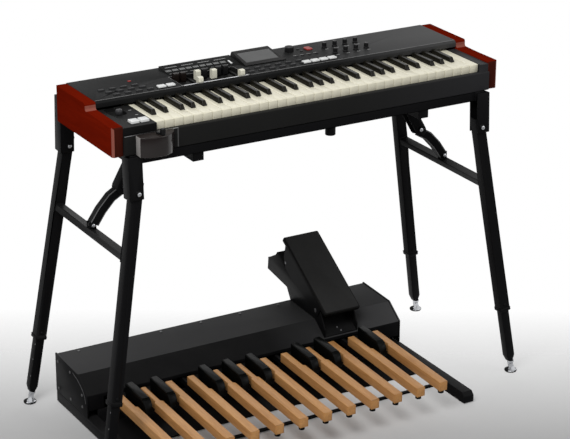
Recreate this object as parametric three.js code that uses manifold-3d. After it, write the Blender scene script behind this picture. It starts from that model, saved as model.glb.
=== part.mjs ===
// Stage organ on a four-legged folding stand, with a twenty-note pedalboard and an expression pedal.
// Millimetres. +X is the player's right, +Y is away from the player, +Z is up, and the floor is at zero.
import * as THREE from 'three';
import { mergeVertices } from 'three/addons/utils/BufferGeometryUtils.js';
import Module from 'manifold-3d';

// Fits
const fitGap = 0.3;
const overrun = 3;
const sliver = 0.0005;
const sheetWall = 2.5;

// Keyboard
const keyPitch = 23.5;
const whiteKeyCount = 36;
const whiteGap = 0.6;
const whiteHeight = 19.5;
const whiteFrontRadius = 3;
const keyReach = 129;
const keyHidden = 92;
const keyTailHeight = 12;
const blackWidth = 11;
const blackTopWidth = 9.2;
const blackLength = 87;
const blackRise = 10.5;
const blackSlope = 7;
const blackGap = 0.8;
const keyRodRadius = 4;
const keyDrop = 11;
const couplerWidth = 3.4;
const couplerHeight = 6;
const couplerPitch = 6.4;
const couplerDrop = 5;
const couplerSetback = 5;
const couplerPost = 6;

// Console
const consoleWidth = 1002;
const consoleDepth = 290;
const consoleMiddleY = -25;
const cheekThickness = 26;
const cheekFrontHeight = 67;
const cheekRearHeight = 84;
const cheekRearLength = 154.5;
const cheekEdgeRadius = 7;
const cheekStepRadius = 6;
const keyTopHeight = 62.5;
const keySetback = 10;
const railStand = 5;
const railDepth = 12;
const railHeight = 45;
const railEdgeRadius = 2.5;
const panelWall = 3;
const lipHeight = 16;
const lipSlope = 5;
const lipOverhang = 3.5;
const leftBlockWidth = 81;
const blockHeight = 63;

// Sockets
const socketCount = 8;
const socketPitch = 42;
const socketRadius = 7;
const socketRise = 2.5;
const inletWidth = 48;
const inletHeight = 27;

// Drawbars
const drawbarCount = 9;
const drawbarPitch = 18;
const drawbarMiddleX = -173;
const drawbarTravel = 52;
const drawbarCapWidth = 13;
const drawbarCapLength = 13;
const drawbarCapHeight = 18;
const drawbarCapRise = 7;
const drawbarStemWidth = 7;
const drawbarStemHeight = 4;
const drawbarStemLength = 70;
const wellDepth = 13;
const wellLength = 73;
const wellWall = 1.5;
const wellMargin = 3;
const wellRimWidth = 3;
const wellRimRise = 0.8;
const wedgeInset = 7;
const wedgeBackGap = 13;
const wedgeFrontRise = 1;
const wedgeBackRise = 8;

// Display
const displayMiddleX = -12;
const displayWidth = 108;
const displayDepth = 78;
const displayFrontRise = 2;
const displayBackRise = 15;
const displayBackGap = 13;
const displayDraft = 6;
const screenWidth = 86;
const screenDepth = 50;
const screenSink = 1.2;

// Knobs, dial and buttons of the panel
const knobRadius = 6.5;
const knobHeight = 13;
const knobPitchX = 28.5;
const knobRowPitch = 50;
const knobFirstX = 169;
const knobFrontRowY = 19;
const dialRadius = 11;
const dialHeight = 12;
const dialX = 82;
const dialY = 84;
const tabWidth = 17;
const tabLength = 11;
const tabPitch = 23;
const buttonWidth = 15;
const buttonLength = 7;
const buttonRise = 3;
const buttonPitch = 27.5;
const buttonRowPitch = 21;
const matWall = 2;
const matMargin = 3;

// Levers
const switchLeft = -448;
const switchWidth = 92;
const switchReach = 36;
const switchSideDepth = 22;
const switchHeight = 45.5;
const leverX = -397;
const leverSetback = 15;
const leverLength = 18;
const leverWidth = 9;
const leverThickness = 5;
const benderX = -440;
const benderSlotSetback = 110;
const benderSetback = 92;
const benderRadius = 8;
const benderHeight = 21;
const benderSlotWidth = 38;
const benderSlotLength = 56;
const benderSlotDepth = 10;

// Stand
const standTop = 736;
const standRailHeight = 22;
const standRailDepth = 25;
const standRailWall = 2;
const sideRailInset = 1;
const crossMemberX = 295;
const crossMemberWidth = 27;
const crossMemberHeight = 20;
const standMiddleY = 7;
const underKnobX = 48;
const underKnobRadius = 12;
const underKnobHeight = 20;
const pivotDrop = 85;
const pivotSpanX = 901;
const pivotSpanY = 358;
const footSpanY = 428;
const bracketWall = 3;
const bracketLap = 15;
const bracketWeb = 18;
const bracketLip = 13;
const rearUpstand = 37;
const legSize = 26;
const legWall = 2;
const legTop = 22;
const outerLegLength = 490;
const innerLegLap = 150;
const collarHeight = 9;
const collarWall = 1.6;
const legTaper = 14;
const stemRadius = 5;
const footRadius = 15.5;
const footThickness = 5;
const footDomeRadius = 9;
const footDomeHeight = 6;
const crossbarSize = 22;
const crossbarDrop = 155;
const boltRadius = 4;
const boltHeadRadius = 7.5;
const boltHeadHeight = 4;
const stayWidth = 30;
const stayWall = 2.5;
const stayTopInset = 50;
const stayTopDrop = 18;
const stayKnuckleX = 399;
const stayKnuckleDrop = 136;
const stayOverlap = 6;
const stayEyeRise = 9;
const armThickness = 8;
const channelWidth = 28;
const armWidth = 17;
const armBow = 5;
const earRadius = 14;

// Pedalboard
const pedalboardWidth = 868;
const boardClearLeft = 58.6;
const boardClearRight = 181.4;
const footSpanX = pedalboardWidth + boardClearLeft + boardClearRight;
const pedalMiddleX = -footSpanX / 2 + boardClearLeft + pedalboardWidth / 2;
const pedalPitch = 63.8;
const pedalGroupOffset = 18;
const naturalCount = 12;
const naturalWidth = 23;
const naturalHeight = 23;
const naturalLength = 311;
const naturalNotch = 5;
const naturalNotchLength = 82;
const naturalFrontY = -325;
const naturalFrontZ = 87;
const naturalEdge = 2;
const pedalSlopeShare = 0.0295;
const sharpWidth = 26;
const sharpLength = 103;
const sharpRise = 20;
const sharpHeight = 38;
const sharpSetback = 10;
const pedalArmWidth = 14;
const pedalArmHeight = 14;
const pedalArmLap = 60;
const pedalRodRadius = 5;
const bumperRadius = 7.5;
const bumperHeight = 13;
const bumperInset = 12;
const pedalCouplerWidth = 8;
const pedalCouplerPitch = 18;
const pedalCouplerDrop = 6;
const pedalCouplerSetback = 45;
const housingLipSetback = 35;
const housingBendDepth = 50;
const housingDepth = 171.5;
const housingLipY = naturalFrontY + naturalLength + housingLipSetback;
const housingBendY = housingLipY + housingBendDepth;
const housingBackY = housingLipY + housingDepth;
const housingBackZ = 127;
const housingBendZ = 122;
const housingLipZ = 86;
const housingLipDepth = 9;
const housingEndClear = 8;
const pedalPivotInset = 32.5;
const pedalPivotY = housingBackY - pedalPivotInset;
const housingSillZ = 46;
const housingBottomZ = 30;
const housingWall = 2;
const endPlateWall = 4;
const baseFeetHeight = 3;
const basePlateWall = 3;
const sideRailWidth = 28;
const sideRailFrontY = -307;
const sideRailChamfer = 9;
const frontBarY = -195;
const frontBarDepth = 8.5;
const frontBarHeight = 6;
const basePlateFrontY = -115;
const baseFootRadius = 12;

// Expression pedal
const treadInset = 173.6;
const treadMiddleX = pedalMiddleX + pedalboardWidth / 2 - treadInset;
const treadWidth = 102;
const treadLength = 247;
const treadThickness = 10;
const treadAngle = 0.56;
const treadHeelLap = 38;
const treadPivotDepth = 33;
const treadPivotSetback = 42;
const treadPivotY = housingLipY + treadPivotSetback;
const treadPivotRise = 26;
const treadLugWall = 3;
const bracketPlateWall = 3;
const earReach = 114;

// Roundness, as counts of flat faces
const roundFaces = 12;
const fineFaces = 18;
const boltFaces = 8;
const cornerFaces = 3;

// Derived places of the console
const consoleHalf = consoleWidth / 2;
const innerHalf = consoleHalf - cheekThickness;
const consoleFront = consoleMiddleY - consoleDepth / 2;
const consoleBack = consoleMiddleY + consoleDepth / 2;
const cheekStepY = consoleBack - cheekRearLength;
const panelTop = standTop + cheekRearHeight;
const panelUnder = panelTop - panelWall;
const railFront = consoleFront - railStand;
const railBack = railFront + railDepth;
const keysLeft = -innerHalf + leftBlockWidth;
const keysRight = keysLeft + keyPitch * whiteKeyCount;
const keyTop = standTop + keyTopHeight;
const keyFront = consoleFront + keySetback;
const keyLipY = keyFront + keyReach;
const keyPivotY = keyLipY + keyHidden;
const keyPivotZ = keyTop - keyTailHeight;
const keyBack = keyPivotY + keyTailHeight;
const panelFront = keyLipY - lipOverhang;

const wasm = await Module();
wasm.setup();

// Turns a geometry inside out where its faces point inwards
function outward(geometry) {
  const bare = geometry.index ? geometry.toNonIndexed() : geometry;
  const place = bare.attributes.position;
  const a = new THREE.Vector3();
  const b = new THREE.Vector3();
  const c = new THREE.Vector3();
  const kept = [];
  let volume = 0;
  for (let i = 0; i < place.count; i += 3) {
    a.fromBufferAttribute(place, i);
    b.fromBufferAttribute(place, i + 1);
    c.fromBufferAttribute(place, i + 2);
    volume += a.dot(b.clone().cross(c));
    const shortest = Math.min(a.distanceTo(b), b.distanceTo(c), c.distanceTo(a));
    if (shortest > sliver) {
      kept.push(a.clone(), b.clone(), c.clone());
    }
  }
  if (volume < 0) {
    kept.reverse();
  }
  const result = new THREE.BufferGeometry().setFromPoints(kept);
  result.computeVertexNormals();
  return result;
}

function toSolid(geometry) {
  const bare = outward(geometry);
  bare.deleteAttribute('normal');
  const merged = mergeVertices(bare, sliver);
  const vertProperties = new Float32Array(merged.attributes.position.array);
  const triVerts = new Uint32Array(merged.index.array);
  return new wasm.Manifold(new wasm.Mesh({ numProp: 3, vertProperties, triVerts }));
}

function toGeometry(solid) {
  const mesh = solid.getMesh();
  const geometry = new THREE.BufferGeometry();
  geometry.setAttribute('position', new THREE.BufferAttribute(mesh.vertProperties, 3));
  geometry.setIndex(new THREE.BufferAttribute(mesh.triVerts, 1));
  const flat = geometry.toNonIndexed();
  flat.computeVertexNormals();
  return flat;
}

function join(...pieces) {
  return toGeometry(pieces.map(toSolid).reduce((sum, piece) => sum.add(piece)));
}

function cut(piece, ...cutters) {
  return toGeometry(cutters.map(toSolid).reduce((rest, cutter) => rest.subtract(cutter), toSolid(piece)));
}

function meet(first, second) {
  return toGeometry(toSolid(first).intersect(toSolid(second)));
}

function at(geometry, x, y, z) {
  return geometry.clone().translate(x, y, z);
}

function slab(x0, x1, y0, y1, z0, z1) {
  const box = new THREE.BoxGeometry(x1 - x0, y1 - y0, z1 - z0);
  return outward(box.translate((x0 + x1) / 2, (y0 + y1) / 2, (z0 + z1) / 2));
}

function shapeOf(outline) {
  return outline instanceof THREE.Shape ? outline : new THREE.Shape(outline.map(([u, v]) => new THREE.Vector2(u, v)));
}

function extruded(outline, depth) {
  return new THREE.ExtrudeGeometry(shapeOf(outline), { depth, bevelEnabled: false, curveSegments: cornerFaces });
}

// An outline in Y and Z, drawn out along X
function prismX(outline, x0, x1) {
  const turn = new THREE.Matrix4().makeBasis(
    new THREE.Vector3(0, 1, 0),
    new THREE.Vector3(0, 0, 1),
    new THREE.Vector3(1, 0, 0)
  );
  return outward(extruded(outline, x1 - x0).applyMatrix4(turn).translate(x0, 0, 0));
}

// An outline in X and Z, drawn out along Y
function prismY(outline, y0, y1) {
  return outward(extruded(outline, y1 - y0).rotateX(Math.PI / 2).translate(0, y1, 0));
}

// An outline in X and Y, drawn out along Z
function prismZ(outline, z0, z1) {
  return outward(extruded(outline, z1 - z0).translate(0, 0, z0));
}

// A profile of radius and height, turned round Z
function turned(profile, faces = roundFaces) {
  const points = profile.map(([radius, height]) => new THREE.Vector2(radius, height));
  return outward(new THREE.LatheGeometry(points, faces).rotateX(Math.PI / 2));
}

function rodZ(radius, z0, z1, faces = roundFaces) {
  return turned([[0, z0], [radius, z0], [radius, z1], [0, z1]], faces);
}

function rodY(radius, x, y0, y1, z, faces = roundFaces) {
  return rodZ(radius, y0, y1, faces).rotateX(-Math.PI / 2).translate(x, 0, z);
}

function rodX(radius, x0, x1, y, z, faces = roundFaces) {
  return rodZ(radius, x0, x1, faces).rotateY(Math.PI / 2).translate(0, y, z);
}

// A rectangle with round corners
function roundedOutline(u0, u1, v0, v1, radius) {
  const shape = new THREE.Shape();
  shape.moveTo(u0 + radius, v0);
  shape.lineTo(u1 - radius, v0);
  shape.absarc(u1 - radius, v0 + radius, radius, -Math.PI / 2, 0);
  shape.lineTo(u1, v1 - radius);
  shape.absarc(u1 - radius, v1 - radius, radius, 0, Math.PI / 2);
  shape.lineTo(u0 + radius, v1);
  shape.absarc(u0 + radius, v1 - radius, radius, Math.PI / 2, Math.PI);
  shape.lineTo(u0, v0 + radius);
  shape.absarc(u0 + radius, v0 + radius, radius, Math.PI, Math.PI * 1.5);
  return shape;
}

function material(color, roughness, metalness = 0) {
  return new THREE.MeshStandardMaterial({ color, roughness, metalness });
}

const paint = {
  wood: () => material(0x7a2214, 0.35),
  blackMetal: () => material(0x1c1c1e, 0.5, 0.3),
  panel: () => material(0x26272a, 0.55, 0.2),
  white: () => material(0xf2eedc, 0.35),
  black: () => material(0x151515, 0.3),
  ivory: () => material(0xe9e2c6, 0.4),
  brown: () => material(0x4a2618, 0.4),
  darkPlastic: () => material(0x1a1a1b, 0.45),
  screen: () => material(0x55585a, 0.15),
  tube: () => material(0x18181a, 0.45, 0.4),
  maple: () => material(0xc98f55, 0.5)
};

const organ = new THREE.Group();
const assembly = new THREE.Group();
organ.add(assembly);

function put(name, geometry, finish, parent = assembly) {
  const mesh = new THREE.Mesh(geometry, finish());
  mesh.name = name;
  parent.add(mesh);
  return mesh;
}

// Wooden cheeks with a step behind the keys and rounded outer front edges
function cheekOutline() {
  const low = standTop + cheekFrontHeight;
  const r = cheekStepRadius;
  const shape = new THREE.Shape();
  shape.moveTo(consoleFront, standTop);
  shape.lineTo(consoleBack, standTop);
  shape.lineTo(consoleBack, panelTop - r);
  shape.quadraticCurveTo(consoleBack, panelTop, consoleBack - r, panelTop);
  shape.lineTo(cheekStepY + r, panelTop);
  shape.quadraticCurveTo(cheekStepY, panelTop, cheekStepY, panelTop - r);
  shape.lineTo(cheekStepY, low + r);
  shape.quadraticCurveTo(cheekStepY, low, cheekStepY - r, low);
  shape.lineTo(consoleFront + r, low);
  shape.quadraticCurveTo(consoleFront, low, consoleFront, low - r);
  return shape;
}

function cheek(side) {
  const profile = prismX(cheekOutline(), 0, cheekThickness);
  const plan = roundedOutline(
    -cheekThickness,
    cheekThickness,
    consoleFront,
    consoleBack,
    cheekEdgeRadius
  );
  const body = meet(profile, prismZ(plan, standTop - overrun, panelTop + overrun));
  if (side > 0) {
    return at(body, innerHalf, 0, 0);
  }
  return outward(body.scale(-1, 1, 1).translate(-innerHalf, 0, 0));
}

// Jack bushings and the power inlet on the back wall
function sockets() {
  const z = standTop + cheekRearHeight / 2;
  const y = consoleBack - sheetWall / 2;
  const pieces = [];
  for (let i = 0; i < socketCount; i += 1) {
    const x = socketPitch * (i - (socketCount - 1) / 2) - socketPitch;
    const bushing = rodY(socketRadius, x, y, consoleBack + socketRise, z);
    pieces.push(cut(bushing, rodY(socketRadius / 2, x, consoleBack, consoleBack + overrun, z)));
  }
  const inletX = innerHalf - inletWidth * 2;
  const inlet = slab(inletX - inletWidth / 2, inletX + inletWidth / 2, y, consoleBack + socketRise,
    z - inletHeight / 2, z + inletHeight / 2);
  const hole = slab(inletX - inletWidth / 3, inletX + inletWidth / 3, consoleBack, consoleBack + overrun,
    z - inletHeight / 3, z + inletHeight / 3);
  return [...pieces, cut(inlet, hole)];
}

// Bottom tray with the back wall, the rod that the keys rock on, and the stop that they land on
function chassis() {
  const floor = standTop + sheetWall;
  const stopY = keyFront + keySetback;
  const stopTop = keyTop - whiteHeight - keyDrop;
  const rodMiddle = keyPivotZ - fitGap - keyRodRadius;
  const base = slab(-innerHalf, innerHalf, railBack, consoleBack, standTop, floor);
  const back = slab(-innerHalf, innerHalf, consoleBack - sheetWall, consoleBack, standTop, panelUnder);
  const flangeFront = consoleBack - cheekThickness / 2;
  const flange = slab(-innerHalf, innerHalf, flangeFront, consoleBack, panelUnder - sheetWall, panelUnder);
  const stop = slab(keysLeft, keysRight, stopY, stopY + keySetback, standTop, stopTop);
  const web = slab(keysLeft, keysRight, keyPivotY - sheetWall, keyPivotY + sheetWall, standTop, rodMiddle);
  const rod = rodX(keyRodRadius, keysLeft, keysRight, keyPivotY, rodMiddle);
  return join(base, back, flange, stop, web, rod, ...sockets());
}

// Front rail below the keys, with the narrow block that fills the right end of the keyboard
function frontRail() {
  const outline = roundedOutline(railFront, railBack, standTop, standTop + railHeight, railEdgeRadius);
  const rail = prismX(outline, -innerHalf, innerHalf);
  return join(rail, prismX(blockOutline(railEdgeRadius), keysRight + fitGap, innerHalf));
}

function blockOutline(sunk) {
  const bottom = standTop + railHeight - sunk;
  const back = panelFront + panelWall;
  return roundedOutline(consoleFront + fitGap, back, bottom, standTop + blockHeight, railEdgeRadius / 2);
}

// Places of everything that passes through the top panel
const wellWidth = drawbarPitch * drawbarCount + wellMargin * 2;
const wellLeft = drawbarMiddleX - wellWidth / 2;
const wellRight = drawbarMiddleX + wellWidth / 2;
const wellFront = panelFront + lipSlope + wellRimWidth;
const wellBack = wellFront + wellLength;
const wellFloor = panelTop - wellDepth;
const tabRowY = panelFront + lipSlope + tabLength * 1.5;
const leftTabs = [1, 2].map((i) => [wellLeft - tabPitch * i, tabRowY]);
const rightTabs = [1, 2, 3, 4].map((i) => {
  return [displayMiddleX + displayWidth / 2 + tabPitch * i + buttonLength, tabRowY];
});
const leftButtons = [];
const middleButtons = [];
for (let i = 0; i < 4; i += 1) {
  for (let row = 0; row < 3; row += 1) {
    const x = wellLeft - tabPitch * 2 - buttonPitch * (i + 1 + row / 3);
    leftButtons.push([x, tabRowY + buttonRowPitch * row]);
  }
}
for (let i = 0; i < 6; i += 1) {
  for (let row = 0; row < 2; row += 1) {
    middleButtons.push([wellRight + buttonWidth + buttonPitch * i, tabRowY + buttonRowPitch * row]);
  }
}
const tabPlaces = [...leftTabs, ...rightTabs];
const buttonPlaces = [...leftButtons, ...middleButtons];
const blockTabPlaces = [1, 2].map((i) => [keysLeft - tabPitch * i + buttonLength, keyFront + tabLength * 2]);

function throughHole(width, length, x, y, top, depth) {
  const w = width / 2 + fitGap;
  const l = length / 2 + fitGap;
  return slab(x - w, x + w, y - l, y + l, top - depth, top + overrun);
}

// Sheet top panel with its sloping front lip and the openings for drawbars and buttons
function topPanel() {
  const outline = [
    [panelFront, panelTop - lipHeight],
    [panelFront + panelWall, panelTop - lipHeight],
    [panelFront + panelWall, panelUnder - lipSlope],
    [panelFront + panelWall + lipSlope, panelUnder],
    [consoleBack, panelUnder],
    [consoleBack, panelTop],
    [panelFront + lipSlope, panelTop],
    [panelFront, panelTop - lipSlope]
  ];
  const plate = prismX(outline, -innerHalf, innerHalf);
  const well = slab(wellLeft, wellRight, wellFront, wellBack, panelUnder - overrun, panelTop + overrun);
  const tabHoles = tabPlaces.map(([x, y]) => throughHole(tabWidth, tabLength, x, y, panelTop, panelWall * 2));
  const holes = buttonPlaces.map(([x, y]) => {
    return throughHole(buttonWidth, buttonLength, x, y, panelTop, panelWall * 2);
  });
  return join(cut(plate, well, ...tabHoles, ...holes), drawbarWedge());
}

// Raised wedge behind the drawbars, which rises away from the player
function drawbarWedge() {
  const front = wellBack + wellRimWidth + fitGap;
  const back = consoleBack - wedgeBackGap;
  const foot = panelTop - panelWall / 2;
  const outline = [
    [front, foot],
    [back, foot],
    [back, panelTop + wedgeBackRise],
    [front, panelTop + wedgeFrontRise]
  ];
  const right = displayMiddleX - displayWidth / 2 - fitGap;
  return prismX(outline, wellLeft + wedgeInset, right);
}

// Block at the left end of the keys: it holds the bender lever's slot and two white buttons
function leftBlock() {
  const top = standTop + blockHeight;
  const block = prismX(blockOutline(0), -innerHalf, keysLeft - fitGap);
  const middleY = consoleFront + benderSlotSetback;
  const slotPlan = roundedOutline(
    benderX - benderSlotWidth / 2,
    benderX + benderSlotWidth / 2,
    middleY - benderSlotLength / 2,
    middleY + benderSlotLength / 2,
    benderSlotWidth / 3
  );
  const slot = prismZ(slotPlan, top - benderSlotDepth, top + overrun);
  const caps = blockTabPlaces.map(([x, y]) => buttonCap(tabWidth, tabLength, x, y, top));
  return join(cut(block, slot), ...caps);
}

// Keys, named by note, each group holding that note of every octave
const noteNames = ['c', 'c_sharp', 'd', 'd_sharp', 'e', 'f', 'f_sharp', 'g', 'g_sharp', 'a', 'a_sharp', 'b'];
const naturalSteps = [0, 2, 4, 5, 7, 9, 11];
const blackShiftShares = { 1: -0.13, 3: 0.13, 6: -0.17, 8: 0, 10: 0.17 };

// The left edge of a black key's slot, from the boundary between its two white neighbours
function blackMiddle(octave, step) {
  const boundary = naturalSteps.filter((natural) => natural < step).length;
  return keysLeft + keyPitch * (octave * naturalSteps.length + boundary + blackShiftShares[step]);
}

function whiteKeyEdges(octave, step) {
  const index = octave * naturalSteps.length + naturalSteps.indexOf(step);
  const left = keysLeft + keyPitch * index + whiteGap / 2;
  const right = left + keyPitch - whiteGap;
  const halfSlot = blackWidth / 2 + blackGap;
  const last = index === whiteKeyCount - 1;
  const hasLeft = step - 1 in blackShiftShares;
  const hasRight = step + 1 in blackShiftShares && !last;
  const tailLeft = hasLeft ? blackMiddle(octave, step - 1) + halfSlot : left;
  const tailRight = hasRight ? blackMiddle(octave, step + 1) - halfSlot : right;
  return { left, right, hasLeft, hasRight, tailLeft, tailRight };
}

function whiteKey(octave, step) {
  const { left, right, hasLeft, hasRight, tailLeft, tailRight } = whiteKeyEdges(octave, step);
  const headEnd = keyLipY - blackLength - blackGap;
  const plan = [[left, keyFront], [right, keyFront]];
  if (hasRight) {
    plan.push([right, headEnd], [tailRight, headEnd]);
  }
  plan.push([tailRight, keyBack], [tailLeft, keyBack]);
  if (hasLeft) {
    plan.push([tailLeft, headEnd], [left, headEnd]);
  }
  const side = new THREE.Shape();
  side.moveTo(keyFront, keyTop - whiteHeight);
  side.lineTo(keyLipY, keyTop - whiteHeight);
  side.lineTo(keyLipY, keyPivotZ);
  side.lineTo(keyBack, keyPivotZ);
  side.lineTo(keyBack, keyTop);
  side.lineTo(keyFront + whiteFrontRadius, keyTop);
  side.quadraticCurveTo(keyFront, keyTop, keyFront, keyTop - whiteFrontRadius);
  return meet(prismZ(plan, keyTop - whiteHeight, keyTop), prismX(side, left - overrun, right + overrun));
}

function blackKey(octave, step) {
  const middle = blackMiddle(octave, step);
  const front = keyLipY - blackLength;
  const capEnd = panelFront - blackGap;
  const low = keyPivotZ;
  const tailTop = keyTop - sheetWall;
  const top = keyTop + blackRise;
  const outline = [
    [front, low],
    [keyBack, low],
    [keyBack, tailTop],
    [capEnd, tailTop],
    [capEnd, top],
    [front + blackSlope, top],
    [front, keyTop]
  ];
  const body = prismX(outline, -blackWidth / 2, blackWidth / 2);
  const place = body.attributes.position;
  for (let i = 0; i < place.count; i += 1) {
    const rise = Math.max(0, place.getZ(i) - keyTop) / blackRise;
    place.setX(i, place.getX(i) * (1 - rise * (1 - blackTopWidth / blackWidth)));
  }
  return at(outward(body), middle, 0, 0);
}

// The keys of one note, coupled by a hidden bar in front of the rod
function keyGroup(step) {
  const isBlack = step in blackShiftShares;
  const pieces = [];
  const middles = [];
  const barY = keyLipY + couplerSetback + couplerPitch * step;
  const barTop = keyPivotZ - couplerDrop;
  for (let octave = 0; octave * naturalSteps.length < whiteKeyCount; octave += 1) {
    const natural = naturalSteps.filter((n) => n <= step).length - 1;
    const index = octave * naturalSteps.length + natural;
    const fits = isBlack ? index < whiteKeyCount - 1 : index < whiteKeyCount;
    if (fits) {
      const edges = isBlack ? null : whiteKeyEdges(octave, step);
      pieces.push(isBlack ? blackKey(octave, step) : whiteKey(octave, step));
      middles.push(isBlack ? blackMiddle(octave, step) : (edges.tailLeft + edges.tailRight) / 2);
    }
  }
  const y0 = barY - couplerWidth / 2;
  const y1 = barY + couplerWidth / 2;
  const half = couplerPost / 2;
  for (const x of middles) {
    pieces.push(slab(x - half, x + half, y0, y1, barTop - couplerHeight / 2, keyPivotZ + couplerHeight / 2));
  }
  const barLeft = Math.min(...middles) - half;
  const barRight = Math.max(...middles) + half;
  pieces.push(slab(barLeft, barRight, y0, y1, barTop - couplerHeight, barTop));
  return join(...pieces);
}

// Recessed tray that the drawbars slide in, with a bright rim along its front edge
const stemBottom = wellFloor + wellWall + fitGap;
const drawbarFrontY = wellFront + wellWall + drawbarCapLength / 2 + fitGap * 2;

function drawbarX(i) {
  return drawbarMiddleX + drawbarPitch * (i - (drawbarCount - 1) / 2);
}

function drawbarWell() {
  const inset = fitGap;
  const tray = slab(wellLeft + inset, wellRight - inset, wellFront + inset, wellBack - inset, wellFloor, panelTop);
  const hollow = slab(
    wellLeft + inset + wellWall,
    wellRight - inset - wellWall,
    wellFront + inset + wellWall,
    wellBack - inset - wellWall,
    wellFloor + wellWall,
    panelTop + overrun
  );
  const slots = [];
  for (let i = 0; i < drawbarCount; i += 1) {
    const half = drawbarStemWidth / 2 + fitGap;
    const slotTop = stemBottom + drawbarStemHeight + fitGap;
    slots.push(slab(
      drawbarX(i) - half,
      drawbarX(i) + half,
      wellBack - inset - wellWall - overrun,
      wellBack + overrun,
      stemBottom - fitGap,
      slotTop
    ));
  }
  const rim = slab(
    wellLeft - wellRimWidth,
    wellRight + wellRimWidth,
    wellFront - wellRimWidth,
    wellFront + inset + wellWall,
    panelTop,
    panelTop + wellRimRise
  );
  return join(cut(tray, hollow, ...slots), rim);
}

function drawbar(i, pulledShare) {
  const x = drawbarX(i);
  const y = drawbarFrontY + drawbarTravel * (1 - pulledShare);
  const half = drawbarStemWidth / 2;
  const stemTop = stemBottom + drawbarStemHeight;
  const stem = slab(x - half, x + half, y, y + drawbarStemLength, stemBottom, stemTop);
  const capBottom = panelTop + drawbarCapRise - drawbarCapHeight;
  const capSide = roundedOutline(
    y - drawbarCapLength / 2,
    y + drawbarCapLength / 2,
    capBottom,
    panelTop + drawbarCapRise,
    drawbarCapLength / 4
  );
  const cap = prismX(capSide, x - drawbarCapWidth / 2, x + drawbarCapWidth / 2);
  const neck = slab(x - half, x + half, y, y + half * 2, stemBottom, capBottom + drawbarCapHeight / 2);
  return join(cap, stem, neck);
}

// How far each drawbar is pulled out, and its colour
const pulledShares = [0.05, 0.05, 1, 0.1, 0.05, 0.3, 0.05, 0.05, 0.95];
const drawbarColors = ['brown', 'brown', 'ivory', 'ivory', 'black', 'ivory', 'black', 'black', 'ivory'];

// Wedge housing of the display, and the screen set into its slope
const displayBack = consoleBack - displayBackGap;
const displayFront = displayBack - displayDepth;
const displayTilt = Math.atan2(displayBackRise - displayFrontRise, displayDepth);

function screenPlate(inset, rise, thickness) {
  const plate = new THREE.BoxGeometry(screenWidth - inset * 2, screenDepth - inset * 2, thickness);
  plate.translate(0, 0, rise - thickness / 2);
  plate.rotateX(displayTilt);
  const middleZ = panelTop + (displayBackRise + displayFrontRise) / 2;
  return plate.translate(displayMiddleX, displayFront + displayDepth / 2, middleZ);
}

function displayHousing() {
  const side = [
    [displayFront, panelTop],
    [displayBack, panelTop],
    [displayBack, panelTop + displayBackRise],
    [displayFront, panelTop + displayFrontRise]
  ];
  const half = displayWidth / 2;
  const wedge = prismX(side, displayMiddleX - half, displayMiddleX + half);
  const front = [
    [displayMiddleX - half, panelTop - overrun],
    [displayMiddleX + half, panelTop - overrun],
    [displayMiddleX + half, panelTop],
    [displayMiddleX + half - displayDraft, panelTop + displayBackRise + overrun],
    [displayMiddleX - half + displayDraft, panelTop + displayBackRise + overrun],
    [displayMiddleX - half, panelTop]
  ];
  const shaped = meet(wedge, prismY(front, displayFront - overrun, displayBack + overrun));
  return cut(shaped, screenPlate(0, overrun, screenSink + overrun));
}

function displayScreen() {
  return outward(screenPlate(fitGap, -fitGap / 3, screenSink - fitGap * 4 / 3));
}

// Knobs with a skirt, a narrower grip and a pointer rib
function knob(x, y, radius, height, base) {
  const body = turned([
    [0, base],
    [radius, base],
    [radius, base + height / 4],
    [radius * 0.82, base + height / 3],
    [radius * 0.74, base + height],
    [0, base + height]
  ]);
  const ribHalf = radius / 8;
  const rib = slab(-ribHalf, ribHalf, 0, radius * 0.9, base + height / 3, base + height + ribHalf);
  return at(join(body, rib), x, y, 0);
}

function knobPlace(i) {
  const column = i % 4;
  const row = Math.floor(i / 4);
  return [knobFirstX + knobPitchX * column, knobFrontRowY + knobRowPitch * (1 - row)];
}

function dial() {
  const base = panelTop + fitGap;
  return at(turned([
    [0, base],
    [dialRadius, base],
    [dialRadius, base + dialHeight * 0.8],
    [dialRadius * 0.9, base + dialHeight],
    [dialRadius * 0.6, base + dialHeight],
    [dialRadius * 0.5, base + dialHeight * 0.9],
    [0, base + dialHeight * 0.9]
  ], fineFaces), dialX, dialY, 0);
}

function buttonCap(width, length, x, y, surface) {
  const low = surface - panelWall - matWall;
  const body = slab(-width / 2, width / 2, -length / 2, length / 2, low, surface + buttonRise);
  return at(body, x, y, 0);
}

// Caps that rise through the panel from one flexible mat
function buttonMat(tabs, buttons) {
  const places = [...tabs, ...buttons];
  const xs = places.map(([x]) => x);
  const ys = places.map(([, y]) => y);
  const halfX = tabWidth / 2 + matMargin;
  const halfY = tabLength / 2 + matMargin;
  const top = panelUnder - fitGap;
  const mat = slab(
    Math.min(...xs) - halfX,
    Math.max(...xs) + halfX,
    Math.min(...ys) - halfY,
    Math.max(...ys) + halfY,
    top - matWall,
    top
  );
  const caps = tabs.map(([x, y]) => buttonCap(tabWidth, tabLength, x, y, panelTop));
  caps.push(...buttons.map(([x, y]) => buttonCap(buttonWidth, buttonLength, x, y, panelTop)));
  return join(mat, ...caps);
}

// Half-moon case with a flat left side on the front rail, with the lever of the rotary speed switch on its top
const switchTop = standTop + railHeight;

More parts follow.
